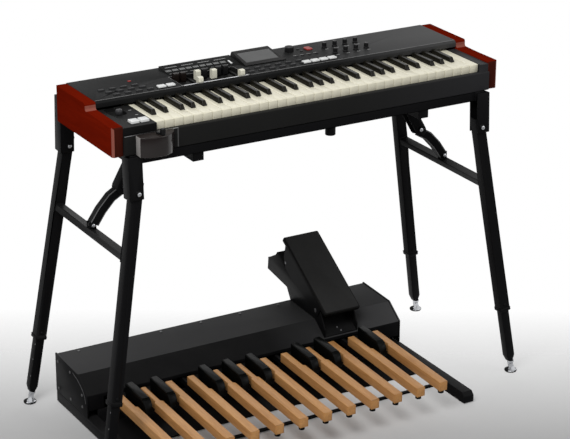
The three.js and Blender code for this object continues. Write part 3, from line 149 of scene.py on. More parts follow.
def mottle_group():
    """Slow change of colour and gloss over a surface, with a fine moulded or painted grain."""
    tree, given, out = new_group(
        "mottle",
        [("Color", COLOR, (0.5, 0.5, 0.5, 1)), ("Tone", NUMBER, 0.15), ("Patch Scale", NUMBER, 9.0),
         ("Gloss", NUMBER, 0.4), ("Gloss Swing", NUMBER, 0.1), ("Grain Scale", NUMBER, 900.0)],
        [("Color", COLOR), ("Roughness", NUMBER), ("Height", NUMBER)],
    )
    spot = own_spot(tree)
    patch = noise(tree, spot, given["Patch Scale"])
    grain = noise(tree, spot, given["Grain Scale"], 2.0)
    both = plus(tree, patch, times(tree, grain, GRAIN_SHARE))
    swing = math_node(tree, "SUBTRACT", both, MOTTLE_MEAN)
    shade = plus(tree, times(tree, swing, given["Tone"]), 1.0)
    scaled = add(tree, "ShaderNodeVectorMath", {"operation": "SCALE"}, i0=given["Color"], Scale=shade)
    rough = times(tree, swing, given["Gloss Swing"])
    plug(tree, out, "Color", scaled.outputs[0])
    plug(tree, out, "Roughness", plus(tree, given["Gloss"], rough))
    plug(tree, out, "Height", grain)
    return tree


def dust_group():
    """A thin pale film on faces that look up, broken by noise."""
    tree, given, out = new_group(
        "dust",
        [("Color", COLOR, (0.5, 0.5, 0.5, 1)), ("Dust", COLOR, (0.35, 0.34, 0.32, 1)),
         ("Amount", NUMBER, 0.06)],
        [("Color", COLOR)],
    )
    spot = own_spot(tree)
    face = add(tree, "ShaderNodeNewGeometry").outputs["Normal"]
    up = add(tree, "ShaderNodeSeparateXYZ", Vector=face).outputs["Z"]
    lift = add(tree, "ShaderNodeClamp", Value=up).outputs[0]
    film = noise(tree, spot, 14.0, 5.0)
    broken = times(tree, lift, film)
    share = times(tree, broken, given["Amount"])
    mixed = mix_color(tree, share, given["Color"], given["Dust"])
    plug(tree, out, "Color", mixed)
    return tree


def wood_group():
    """Long fibres, rings and pores, stretched along one direction."""
    tree, given, out = new_group(
        "wood",
        [("Light", COLOR, (0.5, 0.3, 0.1, 1)), ("Dark", COLOR, (0.3, 0.15, 0.05, 1)),
         ("Stretch", VECTOR, (1.0, 1.0, 1.0)), ("Contrast", NUMBER, 0.6), ("Gloss", NUMBER, 0.35)],
        [("Color", COLOR), ("Roughness", NUMBER), ("Height", NUMBER)],
    )
    spot = own_spot(tree)
    stretched = add(tree, "ShaderNodeVectorMath", {"operation": "MULTIPLY"},
                    i0=spot, i1=given["Stretch"]).outputs[0]
    bands = noise(tree, stretched, 6.0, 4.0, 1.2)
    fibres = noise(tree, stretched, 60.0, 3.0, 0.2)
    slow = noise(tree, spot, 3.0)
    total = plus(tree, times(tree, bands, RING_SHARE), times(tree, fibres, FIBRE_SHARE))
    total = plus(tree, total, times(tree, slow, SLOW_SHARE))
    spread = add(tree, "ShaderNodeMapRange", Value=total, From_Min=WOOD_SPAN[0], From_Max=WOOD_SPAN[1])
    share = times(tree, spread.outputs[0], given["Contrast"])
    mixed = mix_color(tree, share, given["Light"], given["Dark"])
    plug(tree, out, "Color", mixed)
    rough = times(tree, fibres, 0.12)
    plug(tree, out, "Roughness", plus(tree, given["Gloss"], rough))
    plug(tree, out, "Height", fibres)
    return tree


MOTTLE = mottle_group()
DUST = dust_group()
WOOD = wood_group()


def blank_material(name):
    made = bpy.data.materials.new(name)
    made.use_nodes = True
    return made, made.node_tree, made.node_tree.nodes["Principled BSDF"]


def set_bump(tree, shader, height, strength, distance):
    bump = add(tree, "ShaderNodeBump", Strength=strength, Distance=distance, Height=height)
    plug(tree, shader, "Normal", bump.outputs["Normal"])


def coated(name, color, gloss, metal=0.0, tone=0.25, swing=0.12, grain=900.0, bump=0.12,
           depth=0.00008, dust=0.0, specular=0.5, patch=9.0, far=None, span=(0.0, 1.0)):
    """Painted or moulded surface; a far colour, where given, is painted light that changes the colour
    along X, in metres, over span.
    """
    made, tree, shader = blank_material(name)
    shade = (*color, 1)
    if far:
        spot = own_spot(tree)
        across = add(tree, "ShaderNodeSeparateXYZ", Vector=spot).outputs["X"]
        share = add(tree, "ShaderNodeMapRange", Value=across, From_Min=span[0], From_Max=span[1])
        shade = mix_color(tree, share.outputs[0], shade, (*far, 1))
    base = add(tree, "ShaderNodeGroup", {"node_tree": MOTTLE}, Color=shade, Tone=tone,
               Patch_Scale=patch, Gloss=gloss, Gloss_Swing=swing, Grain_Scale=grain)
    film = add(tree, "ShaderNodeGroup", {"node_tree": DUST}, Color=base.outputs["Color"], Amount=dust)
    plug(tree, shader, "Base Color", film.outputs["Color"])
    plug(tree, shader, "Roughness", base.outputs["Roughness"])
    plug(tree, shader, "Metallic", metal)
    plug(tree, shader, "Specular IOR Level", specular)
    set_bump(tree, shader, base.outputs["Height"], bump, depth)
    return made


def wooden(name, light, dark, stretch, contrast, gloss, specular):
    made, tree, shader = blank_material(name)
    grain = add(tree, "ShaderNodeGroup", {"node_tree": WOOD}, Light=(*light, 1), Dark=(*dark, 1),
                Stretch=stretch, Contrast=contrast, Gloss=gloss)
    plug(tree, shader, "Base Color", grain.outputs["Color"])
    plug(tree, shader, "Roughness", grain.outputs["Roughness"])
    plug(tree, shader, "Specular IOR Level", specular)
    set_bump(tree, shader, grain.outputs["Height"], 0.12, 0.0001)
    return made


# Materials

# How the wood's fibres are stretched: along the cheek, across its end, and along a pedal
ALONG_CHEEK = (9.0, 1.0, 9.0)
END_GRAIN = (9.0, 9.0, 1.0)
ALONG_PEDAL = (9.0, 0.8, 9.0)

CHERRY = wooden("stained_cheek_wood", (0.175, 0.0095, 0.002), (0.105, 0.0055, 0.0015), ALONG_CHEEK,
                contrast=0.6, gloss=0.3, specular=0.0)
# Painted shade: a darker copy of the cheek wood for its faces towards the player
CHERRY_FRONT_SHADE = wooden("cheek_front_painted_shade", (0.055, 0.010, 0.006), (0.035, 0.007, 0.004), END_GRAIN,
                    contrast=0.6, gloss=0.4, specular=0.01)
# Painted highlight: a paler copy of the cheek wood for its front corner and the foot of its step
CHERRY_HIGHLIGHT = wooden("cheek_edge_painted_highlight", (0.30, 0.10, 0.075), (0.22, 0.06, 0.04), END_GRAIN,
                     contrast=0.5, gloss=0.3, specular=0.02)
MAPLE = wooden("pedal_wood", (0.60, 0.31, 0.112), (0.35, 0.15, 0.043), ALONG_PEDAL, contrast=0.75,
               gloss=0.35, specular=0.25)

# Painted light: the panel grows lighter towards +X
PANEL = coated("panel_with_painted_light", (0.0135, 0.0138, 0.014), 0.5, tone=0.3, grain=1300.0, bump=0.1,
               dust=0.01, specular=0.02, far=(0.075, 0.075, 0.076), span=(0.12, 0.5))
CASE = coated("case_plastic", (0.0085, 0.0085, 0.0085), 0.45, grain=1100.0, dust=0.02, specular=0.03)
# Painted light: the rail grows lighter towards +X
RAIL = coated("front_rail_with_painted_light", (0.0145, 0.0145, 0.0142), 0.45, grain=1100.0, dust=0.02,
              specular=0.03, far=(0.028, 0.028, 0.03), span=(0.1, 0.47))
HOUSING = coated("housing_paint", (0.0065, 0.0065, 0.007), 0.42, grain=700.0, bump=0.18, dust=0.02,
                 specular=0.03)
# Painted light: a lighter copy of the housing paint for its top, and one for its slope that grows
# lighter towards +X
HOUSING_LIT_TOP = coated("housing_top_with_painted_light", (0.033, 0.033, 0.034), 0.5, grain=700.0, bump=0.18,
                     dust=0.03, specular=0.03)
HOUSING_LIT_SLOPE = coated("housing_slope_with_painted_light", (0.0075, 0.0075, 0.008), 0.5, grain=700.0, bump=0.18,
                       dust=0.03, specular=0.03, far=(0.06, 0.06, 0.062), span=(0.0, 0.36))
TUBE = coated("tube_powder_coat", (0.0055, 0.0055, 0.006), 0.4, grain=600.0, bump=0.2, dust=0.02,
              specular=0.035)
# Painted highlight: pale edges of the stay channels
TUBE_HIGHLIGHT = coated("tube_edge_painted_highlight", (0.16, 0.16, 0.163), 0.4, grain=600.0, bump=0.1, specular=0.2)

KEY_WHITE = coated("white_key", (0.86, 0.82, 0.655), 0.36, tone=0.06, grain=500.0, bump=0.03,
                   specular=0.25)
KEY_BLACK = coated("black_key", (0.010, 0.009, 0.0065), 0.3, tone=0.3, grain=800.0, bump=0.05,
                   dust=0.01, specular=0.12)
IVORY = coated("ivory_cap", (0.82, 0.80, 0.66), 0.3, tone=0.08, grain=600.0, bump=0.03, specular=0.3)
BROWN = coated("brown_cap", (0.009, 0.006, 0.005), 0.4, tone=0.2, dust=0.01, specular=0.1)
KNOB = coated("knob_plastic", (0.008, 0.008, 0.0085), 0.45, grain=1400.0, dust=0.04, specular=0.1)
# Painted highlight: the paler top disc of each knob
KNOB_HIGHLIGHT = coated("knob_cap", (0.07, 0.07, 0.072), 0.45, grain=1400.0, specular=0.1)
BENDER = coated("bender_grip", (0.03, 0.03, 0.032), 0.42, tone=0.15, bump=0.05, specular=0.2, dust=0.05)
BUTTON = coated("button_plastic", (0.024, 0.024, 0.025), 0.5, grain=1400.0, dust=0.03, specular=0.08)
TAB_WHITE = coated("white_tab", (0.82, 0.83, 0.82), 0.4, tone=0.05, bump=0.03, specular=0.3)
RED = coated("red_cap", (0.30, 0.02, 0.015), 0.4, tone=0.1, specular=0.2)
SWITCH = coated("switch_case_plastic", (0.010, 0.006, 0.0055), 0.13, tone=0.2, grain=300.0,
                bump=0.01, specular=0.5)
# Painted highlight: grey for the flat left side of the half-moon case
SWITCH_HIGHLIGHT = coated("switch_left_painted_highlight", (0.31, 0.295, 0.285), 0.4, tone=0.15, grain=300.0,
                     bump=0.02, specular=0.05, dust=0.05)
SWITCH_TOP = coated("switch_case_top", (0.014, 0.010, 0.009), 0.5, tone=0.4, patch=40.0,
                    grain=300.0, bump=0.02, specular=0.05, dust=0.05)

# Bright steel, whose colour also paints highlights along the console's edges
STEEL_AND_HIGHLIGHT = coated("steel_and_painted_highlight", (0.50, 0.51, 0.53), 0.28, metal=1.0, tone=0.15, grain=400.0, bump=0.02)
PIN = coated("dulled_steel", (0.13, 0.13, 0.135), 0.4, metal=0.5, tone=0.2, grain=400.0, bump=0.02,
             specular=0.2)
# Dark screws, whose colour also paints a highlight along the left end plate
DARK_STEEL_AND_HIGHLIGHT = coated("blackened_steel_and_painted_highlight", (0.09, 0.09, 0.092), 0.3, metal=0.7, tone=0.1)
# Grey metal rim, whose colour also paints highlights along the panel's front edge and the rail
EDGING_AND_HIGHLIGHT = coated("edging_and_painted_highlight", (0.10, 0.10, 0.10), 0.35, metal=0.4, tone=0.1, grain=700.0, bump=0.05,
              specular=0.3)

RUBBER = coated("black_rubber", (0.006, 0.006, 0.006), 0.6, tone=0.3, grain=1500.0, bump=0.2,
                dust=0.02, specular=0.04)
PAD = coated("tread_pad", (0.024, 0.024, 0.024), 0.55, tone=0.35, patch=14.0, grain=1100.0,
             bump=0.25, dust=0.03, specular=0.05)
SHARP = coated("black_lacquer", (0.0022, 0.0024, 0.0022), 0.3, tone=0.3, grain=300.0, bump=0.03,
               specular=0.06)

SCREEN = coated("display_window", (0.042, 0.043, 0.043), 0.4, tone=0.12, patch=30.0, grain=1800.0,
                bump=0.01, specular=0.2)
WINDOW = coated("display_field", (0.13, 0.133, 0.133), 0.45, tone=0.1, patch=20.0, grain=2500.0,
                bump=0.01, specular=0.15)
# Print, whose colour also paints two highlights on the key block
LEGEND_AND_HIGHLIGHT = coated("legend_and_painted_highlight", (0.45, 0.455, 0.45), 0.5, tone=0.1, specular=0.1)
FIELD = coated("strip_field", (0.16, 0.163, 0.16), 0.5, tone=0.5, patch=60.0, bump=0.02, specular=0.1)


# Mesh tools

SMOOTH_ANGLE = math.radians(35.0)
BEVEL_ANGLE = math.radians(32.0)
# An edge that is rounded is so many widths long and has so many widths of face beside it
EDGE_WIDTHS = 3.0
ROOM_WIDTHS = 1.4


def piece_from(bm, name, mats):
    """An object with a form's mesh, its materials and smooth faces."""
    mesh = bpy.data.meshes.new(name)
    bm.to_mesh(mesh)
    bm.free()
    for mat in mats:
        mesh.materials.append(mat)
    mesh.shade_smooth()
    mesh.set_sharp_from_angle(angle=SMOOTH_ANGLE)
    made = bpy.data.objects.new(name, mesh)
    bpy.context.collection.objects.link(made)
    return made


def soften(bm, width, segments):
    """Rounds the sharp edges that are long and have room beside them."""
    limit = width * MM
    chosen = []
    for edge in bm.edges:
        length = edge.calc_length()
        if len(edge.link_faces) != 2 or length < EDGE_WIDTHS * limit:
            continue
        room = min(face.calc_area() for face in edge.link_faces) / length
        if room > ROOM_WIDTHS * limit and edge.calc_face_angle(0.0) > BEVEL_ANGLE:
            chosen.append(edge)
    bmesh.ops.bevel(bm, geom=chosen, offset=limit, segments=segments, profile=0.5, affect="EDGES",
                    clamp_overlap=False, material=-1)


def place(piece, body, slot, *nodes):
    """Lets a piece ride a body and hides the nodes that it stands for; the slot is not used."""
    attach(piece, body)
    if nodes:
        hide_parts(*nodes)


def split_crossing(bm, spot, normal):
    """Divides the faces that reach well to both sides of a plane."""
    reach = 2.0 * MM
    crossing = []
    for face in bm.faces:
        sides = [(vert.co - spot).dot(normal) for vert in face.verts]
        if min(sides) < -reach and max(sides) > reach:
            crossing.append(face)
    edges = list({edge for face in crossing for edge in face.edges})
    verts = list({vert for face in crossing for vert in face.verts})
    bmesh.ops.bisect_plane(bm, geom=verts + edges + crossing, plane_co=spot, plane_no=normal)


def refined(node, body, slot, mats, width, segments=2, choose=None, shape=None, cut=None):
    """A node's form with merged faces, softened edges and its own finish."""
    bm = bmesh.new()
    bm.from_mesh(CAD[node].data)
    bmesh.ops.remove_doubles(bm, verts=bm.verts, dist=0.02 * MM)
    bmesh.ops.dissolve_limit(bm, angle_limit=math.radians(0.6), verts=bm.verts, edges=bm.edges)
    for face in bm.faces:
        face.normal_update()
    if cut:
        split_crossing(bm, Vector(cut[0]), Vector(cut[1]).normalized())
    for face in bm.faces:
        face.material_index = choose(face) if choose else 0
    if shape:
        shape(bm)
    if width:
        soften(bm, width, segments)
    place(piece_from(bm, node + "_finish", mats), body, slot, node)


def block(bm, low, high, index=0):
    """A box between two corners in millimetres."""
    size = [(b - a) * MM for a, b in zip(low, high)]
    middle = Vector([(a + b) / 2 * MM for a, b in zip(low, high)])
    matrix = Matrix.Translation(middle) @ Matrix.Diagonal((*size, 1))
    made = bmesh.ops.create_cube(bm, size=1.0, matrix=matrix)
    for face in {f for v in made["verts"] for f in v.link_faces}:
        face.material_index = index
    return made["verts"]


def turned(bm, profile, segments, matrix=None, index=0):
    """A closed profile of (radius, height) in millimetres, turned round Z."""
    rings = []
    for radius, height in profile:
        if radius == 0:
            rings.append([bm.verts.new((0, 0, height * MM))])
            continue
        circle = []
        for i in range(segments):
            angle = 2 * math.pi * i / segments
            x, y = radius * MM * math.cos(angle), radius * MM * math.sin(angle)
            circle.append(bm.verts.new((x, y, height * MM)))
        rings.append(circle)
    faces = []
    for low, high in zip(rings, rings[1:]):
        for i in range(segments):
            j = (i + 1) % segments
            quad = (low[i % len(low)], low[j % len(low)], high[j % len(high)], high[i % len(high)])
            corners = list(dict.fromkeys(quad))
            if len(corners) > 2:
                faces.append(bm.faces.new(corners))
    for face in faces:
        face.material_index = index
    verts = [v for circle in rings for v in circle]
    if matrix:
        bmesh.ops.transform(bm, matrix=matrix, verts=verts)
    bmesh.ops.recalc_face_normals(bm, faces=faces)


def prism(bm, near, far, index=0):
    """A closed form between two outlines of as many corners, in millimetres."""
    near, far = [[bm.verts.new([c * MM for c in spot]) for spot in side] for side in (near, far)]
    faces = [bm.faces.new(near), bm.faces.new(far[::-1])]
    for i in range(len(near)):
        j = (i + 1) % len(near)
        faces.append(bm.faces.new((near[i], far[i], far[j], near[j])))
    for face in faces:
        face.material_index = index
    bmesh.ops.recalc_face_normals(bm, faces=faces)


def outline_x(bm, outline, low, high):
    """An outline in Y and Z, drawn out along X between two planes."""
    prism(bm, [(low, y, z) for y, z in outline], [(high, y, z) for y, z in outline])


def shift(bm, x, y):
    bmesh.ops.translate(bm, verts=bm.verts, vec=(x * MM, y * MM, 0))


def screws_facing(name, spots, direction, body, radius, rise, mat=STEEL_AND_HIGHLIGHT):
    """Screw heads at the given places, all facing one way."""
    bm = bmesh.new()
    aim = Vector(direction).to_track_quat("Z", "Y").to_matrix().to_4x4()
    for spot in spots:
        matrix = Matrix.Translation(Vector(spot) * MM) @ aim
        turned(bm, [(0, -0.6), (radius, -0.6), (radius, rise * 0.35), (radius * 0.8, rise * 0.85),
                    (radius * 0.35, rise), (0, rise * 0.55)], 18, matrix)
    place(piece_from(bm, name, [mat]), body, "case_metal")


# Repeats

def geometry_tree(name, inputs):
    """A geometry tree with the given inputs between its form and its material."""
    tree = bpy.data.node_groups.new(name, "GeometryNodeTree")
    for label, kind in [("Geometry", "Geometry"), *inputs, ("Material", "Material")]:
        tree.interface.new_socket(name=label, in_out="INPUT", socket_type="NodeSocket" + kind)
    tree.interface.new_socket(name="Geometry", in_out="OUTPUT", socket_type="NodeSocketGeometry")
    return tree, add(tree, "NodeGroupInput").outputs, add(tree, "NodeGroupOutput")


def finish_tree(tree, given, out, copies):
    """Makes the copies real and gives them their material."""
    real = add(tree, "GeometryNodeRealizeInstances", Geometry=copies.outputs[0])
    done = add(tree, "GeometryNodeSetMaterial", Geometry=real.outputs[0], Material=given["Material"])
    plug(tree, out, "Geometry", done.outputs[0])
    return tree


def repeat_tree():
    """Copies of the given form along two steps, joined into one mesh."""
    tree, given, out = geometry_tree("rows", [
        ("Count", "Int"), ("Step", "Vector"), ("Rows", "Int"), ("Row Step", "Vector"),
        ("Start", "Vector"),
    ])
    starts = add(tree, "GeometryNodeMeshLine", Count=given["Rows"],
                 Start_Location=given["Start"], Offset=given["Row Step"])
    line = add(tree, "GeometryNodeMeshLine", Count=given["Count"], Offset=given["Step"])
    spread = add(tree, "GeometryNodeInstanceOnPoints", Points=starts.outputs[0],
                 Instance=line.outputs[0])
    points = add(tree, "GeometryNodeRealizeInstances", Geometry=spread.outputs[0])
    copies = add(tree, "GeometryNodeInstanceOnPoints", Points=points.outputs[0],
                 Instance=given["Geometry"])
    return finish_tree(tree, given, out, copies)


def ring_tree():
    """Copies of the given form on a circle round Z, each turned to face outwards."""
    tree, given, out = geometry_tree("ring", [
        ("Count", "Int"), ("Radius", "Float"), ("Angle Step", "Float"), ("Centre", "Vector"),
    ])
    points = add(tree, "GeometryNodeMeshLine", Count=given["Count"], Offset=(0.0, 0.0, 0.0))
    index = add(tree, "GeometryNodeInputIndex").outputs[0]
    angle = times(tree, index, given["Angle Step"])
    radius = given["Radius"]
    x = times(tree, math_node(tree, "COSINE", angle, 0.0), radius)
    y = times(tree, math_node(tree, "SINE", angle, 0.0), radius)
    on_ring = add(tree, "ShaderNodeCombineXYZ", X=x, Y=y).outputs[0]
    spot = add(tree, "ShaderNodeVectorMath", {"operation": "ADD"},
               i0=on_ring, i1=given["Centre"]).outputs[0]
    moved = add(tree, "GeometryNodeSetPosition", Geometry=points.outputs[0], Position=spot)
    turn = add(tree, "ShaderNodeCombineXYZ", Z=angle).outputs[0]
    copies = add(tree, "GeometryNodeInstanceOnPoints", Points=moved.outputs[0],
                 Instance=given["Geometry"], Rotation=turn)
    return finish_tree(tree, given, out, copies)


ROWS = repeat_tree()
RING = ring_tree()


def metres(spot):
    return tuple(c * MM for c in spot)


def run_tree(piece, tree, values):
    """Runs a tree on a piece and keeps what it makes as a plain mesh."""
    modifier = piece.modifiers.new("repeat", "NODES")
    modifier.node_group = tree
    for item in tree.interface.items_tree:
        if item.in_out == "INPUT" and item.name in values:
            modifier[item.identifier] = values[item.name]
    bpy.context.view_layer.update()
    graph = bpy.context.evaluated_depsgraph_get()
    mesh = bpy.data.meshes.new_from_object(piece.evaluated_get(graph))
    mesh.name = piece.name
    piece.modifiers.clear()
    piece.data = mesh


def rows(piece, mat, start, count, step, row_count=1, row_step=0):
    """Repeats a piece along X, and in rows along Y, from the place of its first copy."""
    run_tree(piece, ROWS, {
        "Count": count, "Step": metres((step, 0, 0)), "Rows": row_count,
        "Row Step": metres((0, row_step, 0)), "Start": metres(start), "Material": mat,
    })


def ring(piece, mat, centre, count, radius):
    """Repeats a piece all round a centre."""
    run_tree(piece, RING, {
        "Count": count, "Radius": radius * MM, "Angle Step": 2 * math.pi / count,
        "Centre": metres(centre), "Material": mat,
    })


def round_corners(bm, verts, radius, segments):
    """Rounds the upright edges among some vertices."""
    upright = [e for e in bm.edges
               if e.verts[0] in verts and abs(e.verts[0].co.z - e.verts[1].co.z) > MM]
    bmesh.ops.bevel(bm, geom=upright, offset=radius * MM, segments=segments, affect="EDGES",
                    profile=0.5)


def round_top(bm, height, radius, segments):
    """Rounds the edges that lie at a height."""
    top = [e for e in bm.edges if all(v.co.z > (height - 0.01) * MM for v in e.verts)]
    bmesh.ops.bevel(bm, geom=top, offset=radius * MM, segments=segments, affect="EDGES", profile=0.5)


def rounded_plate(bm, low, high, corner, crown, segments=(6, 4)):
    """A plate with round corners in plan and a rounded upper edge."""
    verts = block(bm, low, high)
    round_corners(bm, verts, corner, segments[0])
    round_top(bm, high[2], crown, segments[1])


def cap_form(name, mat, size, corner, crown, sunk=2.0):
    """A button cap that stands on zero, or sunk below it."""
    width, length, height = size
    bm = bmesh.new()
    rounded_plate(bm, (-width / 2, -length / 2, -sunk), (width / 2, length / 2, height),
                  corner, crown, (5, 3))
    return piece_from(bm, name, [mat])


# Finish of each node

WOOD_EDGE = 2.4
SHEET_EDGE = 0.8
FRAME_EDGE = 1.0
TUBE_EDGE = 2.2
KEY_EDGE = 1.1
CAP_EDGE = 1.3
LEVER_EDGE = 1.4
MOULDED_EDGE = 1.6
RIM_EDGE = 0.3
MARGIN = 0.3

CHEEK_STEP_Y = (-32.0, -24.5)
CHEEK_STEP_Z = (803.2, 812.0)
CHEEK_FRONT_Y = -100.0
CHEEK_OUTER_X = 493.0
BLOCK_TAB_X = (-410.0, -433.0)
BLOCK_TAB_Y = -128.75
BLOCK_TAB_REACH = (8.7, 5.7)


def middle_of(face):
    """A face's middle in millimetres; limits stand a margin clear of such middles."""
    return face.calc_center_median() / MM


def cheek_part(face):
    """Painted shade on the cheek's faces towards the player; painted highlights on its rounded front
    corner and at the foot of the step.
    """
    middle, normal = middle_of(face), face.normal
    in_step = (CHEEK_STEP_Y[0] < middle.y < CHEEK_STEP_Y[1]
               and CHEEK_STEP_Z[0] < middle.z < CHEEK_STEP_Z[1])
    # Painted highlight at the foot of the step
    if in_step and normal.y < -0.05:
        return 2
    if middle.y > CHEEK_FRONT_Y:
        return 0
    # Painted highlight on the rounded front corner
    if abs(normal.x) > 0.2 and normal.y < -0.2 and abs(middle.x) > CHEEK_OUTER_X:
        return 2
    # Painted shade on the faces towards the player
    return 1 if normal.y < -0.7 else 0


def block_tab(face):
    """White where a face belongs to one of the two tabs that stand on the key block."""
    middle = middle_of(face)
    near_x = any(abs(middle.x - x) < BLOCK_TAB_REACH[0] for x in BLOCK_TAB_X)
    near_y = abs(middle.y - BLOCK_TAB_Y) < BLOCK_TAB_REACH[1]
    return 1 if near_x and near_y and middle.z > BLOCK_TOP - 2.0 else 0


def well_rim(face):
    """The rim that stands on the panel in front of the drawbars."""
    return 1 if middle_of(face).z > PANEL_TOP - 0.1 else 0


def switch_part(face):
    """Side, top and curved front of the half-moon case; the grey of its flat left side is a painted
    highlight.
    """
    if face.normal.x < -0.9:
        return 1
    return 2 if face.normal.z > 0.9 else 0


for node in ("left_cheek", "right_cheek"):
    refined(node, CONSOLE, "wood_red", [CHERRY, CHERRY_FRONT_SHADE, CHERRY_HIGHLIGHT], WOOD_EDGE, 3,
            choose=cheek_part)
refined("chassis", CONSOLE, "case_metal", [CASE], SHEET_EDGE)
refined("front_rail", CONSOLE, "case_black", [RAIL], SHEET_EDGE)
refined("top_panel", CONSOLE, "panel", [PANEL], SHEET_EDGE)
refined("left_key_block", CONSOLE, "case_black", [CASE, TAB_WHITE], SHEET_EDGE, choose=block_tab)
refined("display_housing", CONSOLE, "case_black", [CASE], MOULDED_EDGE, 3)
refined("display_screen", CONSOLE, "screen", [SCREEN], 0.0)
refined("drawbar_well", CONSOLE, "panel", [CASE, EDGING_AND_HIGHLIGHT], RIM_EDGE, choose=well_rim)
refined("speed_switch_case", CONSOLE, "switch_case", [SWITCH, SWITCH_HIGHLIGHT, SWITCH_TOP],
        MOULDED_EDGE, 3, choose=switch_part)
refined("speed_lever", "speed_lever", "black_knob", [KNOB], LEVER_EDGE, 3)
for note in ("c", "d", "e", "f", "g", "a", "b"):
    refined("keys_" + note, "keys_" + note, "key_white", [KEY_WHITE], KEY_EDGE)
for note in ("c_sharp", "d_sharp", "f_sharp", "g_sharp", "a_sharp"):
    refined("keys_" + note, "keys_" + note, "key_black", [KEY_BLACK], CAP_EDGE, 3)

BAR_CAP = 13.3
BAR_NECK_HALF = 4.5
BAR_CAP_SHARE = 0.9
BAR_SHOULDER = 818.5
BAR_LIFT = 4.4
BROWN_BAR = (BROWN, "brown")
IVORY_BAR = (IVORY, "ivory")
BLACK_BAR = (KNOB, "black_knob")
BARS = [BROWN_BAR] * 2 + [IVORY_BAR] * 2 + [BLACK_BAR, IVORY_BAR] + [BLACK_BAR] * 2 + [IVORY_BAR]


def bar_form(node, mat, slot_name, middle):
    """The cap a little narrower and taller than the plain bar's head; the bar behind is dark."""
    back = min(vert.co.y for vert in CAD[node].data.vertices) / MM + BAR_CAP
    limit = (back - MARGIN) * MM

    def choose(face):
        return 1 if face.calc_center_median().y > limit else 0

    def shape(bm):
        for vert in bm.verts:
            x, y, z = vert.co / MM
            if y < back and abs(x - middle) > BAR_NECK_HALF:
                vert.co.x = (middle + (x - middle) * BAR_CAP_SHARE) * MM
            if y < back and z > BAR_SHOULDER:
                vert.co.z = (z + BAR_LIFT) * MM

    refined(node, node, slot_name, [mat, CASE], LEVER_EDGE, 3, choose=choose, shape=shape)


for i, (mat, slot_name) in enumerate(BARS):
    bar_form("drawbar_%d" % (i + 1), mat, slot_name, DRAWBAR_FIRST + DRAWBAR_PITCH * i)
for node in ("left_buttons", "middle_buttons"):
    refined(node, node, "key_white", [BUTTON], CAP_EDGE, 3)


# Stand

CROSSBAR_UNDERSIDE = (484.0, 491.5)
CROSSBAR_CUT = 6.0
STAY_RUN = [(403.0, 590.0), (427.0, 576.0), (452.0, 549.0), (471.0, 521.0)]
# Half the width, front, back and material of a stay's channel, its pale edges and its trough; the pale
# edges are painted highlights
STAY_LAYERS = [(11.5, 8.0, 24.0, 0), (11.0, 7.4, 8.2, 1), (8.6, 7.0, 8.4, 0)]
FOOT_PLACE = (554.0, 214.0, 5.0)
LEG_RUN = (103.5, 35.0, 646.0)
# Places along a leg from its foot, and the neck's radius with them
TUBE_START = 10.9
TUBE_END = (10.0, 30.0)
LEG_HOLES = (68.5, 112.7, 151.5)
NECK = [(0, 1.5), (8.6, 1.5), (8.0, 4.0), (6.0, 9.0), (4.6, 14.0), (4.4, 23.0), (7.0, 23.6),
        (7.0, 27.6), (0, 27.6)]
NECK_RISE = 16.0
NECK_REACH = 9.6
LEG_FACE = 10.7


def slim_bar(bm):
    """The bar between two legs, a little slimmer from below."""
    low, high = metres(CROSSBAR_UNDERSIDE)
    for vert in bm.verts:
        if low < vert.co.z < high:
            vert.co.z += CROSSBAR_CUT * MM


def stay_cover(side, name):
    """Channel over the lower arm of a stay, with paler edges that are painted highlights."""
    bm = bmesh.new()
    for half, front, back, index in STAY_LAYERS:
        upper, lower = [], []
        for i, (x, z) in enumerate(STAY_RUN):
            before, after = STAY_RUN[max(i - 1, 0)], STAY_RUN[min(i + 1, len(STAY_RUN) - 1)]
            along = Vector((after[0] - before[0], after[1] - before[1])).normalized()
            upper.append((side * (x - along.y * half), z + along.x * half))
            lower.append((side * (x + along.y * half), z - along.x * half))
        outline = upper + lower[::-1]
        prism(bm, [(x, front, z) for x, z in outline], [(x, back, z) for x, z in outline], index)
    place(piece_from(bm, name, [TUBE, TUBE_HIGHLIGHT]), CONSOLE, "tube")


def leg_form(node, side, end):
    """Disc foot, bright neck and tapered tube end of one leg, with dots for its holes."""
    foot = Vector((side * FOOT_PLACE[0], end * FOOT_PLACE[1] + SHIFT_Y, FOOT_PLACE[2]))
    rise = Vector((-side * LEG_RUN[0], -end * LEG_RUN[1], LEG_RUN[2]))
    run = rise.normalized()

    def choose(face):
        middle = middle_of(face)
        if (middle - foot).dot(run) > TUBE_START:
            return 0
        on_neck = middle.z > FOOT_PLACE[2] + 0.2 and (middle.xy - foot.xy).length < NECK_REACH
        return 1 if on_neck else 2

    def shape(bm):
        for vert in bm.verts:
            if TUBE_END[0] < (vert.co / MM - foot).dot(run) < TUBE_END[1]:
                vert.co += run * NECK_RISE * MM
        aim = run.to_track_quat("Z", "Y").to_matrix().to_4x4()
        turned(bm, NECK, 32, Matrix.Translation(foot * MM) @ aim, 1)

    refined(node, node, "tube", [TUBE, STEEL_AND_HIGHLIGHT, RUBBER], MOULDED_EDGE, 3, choose=choose, shape=shape)
    out = run.cross(Vector((0, -side, 0))).normalized()
    dots = [foot + run * along + out * LEG_FACE for along in LEG_HOLES]
    screws_facing(node + "_dots", dots, out, node, 1.9, 0.5, PIN)


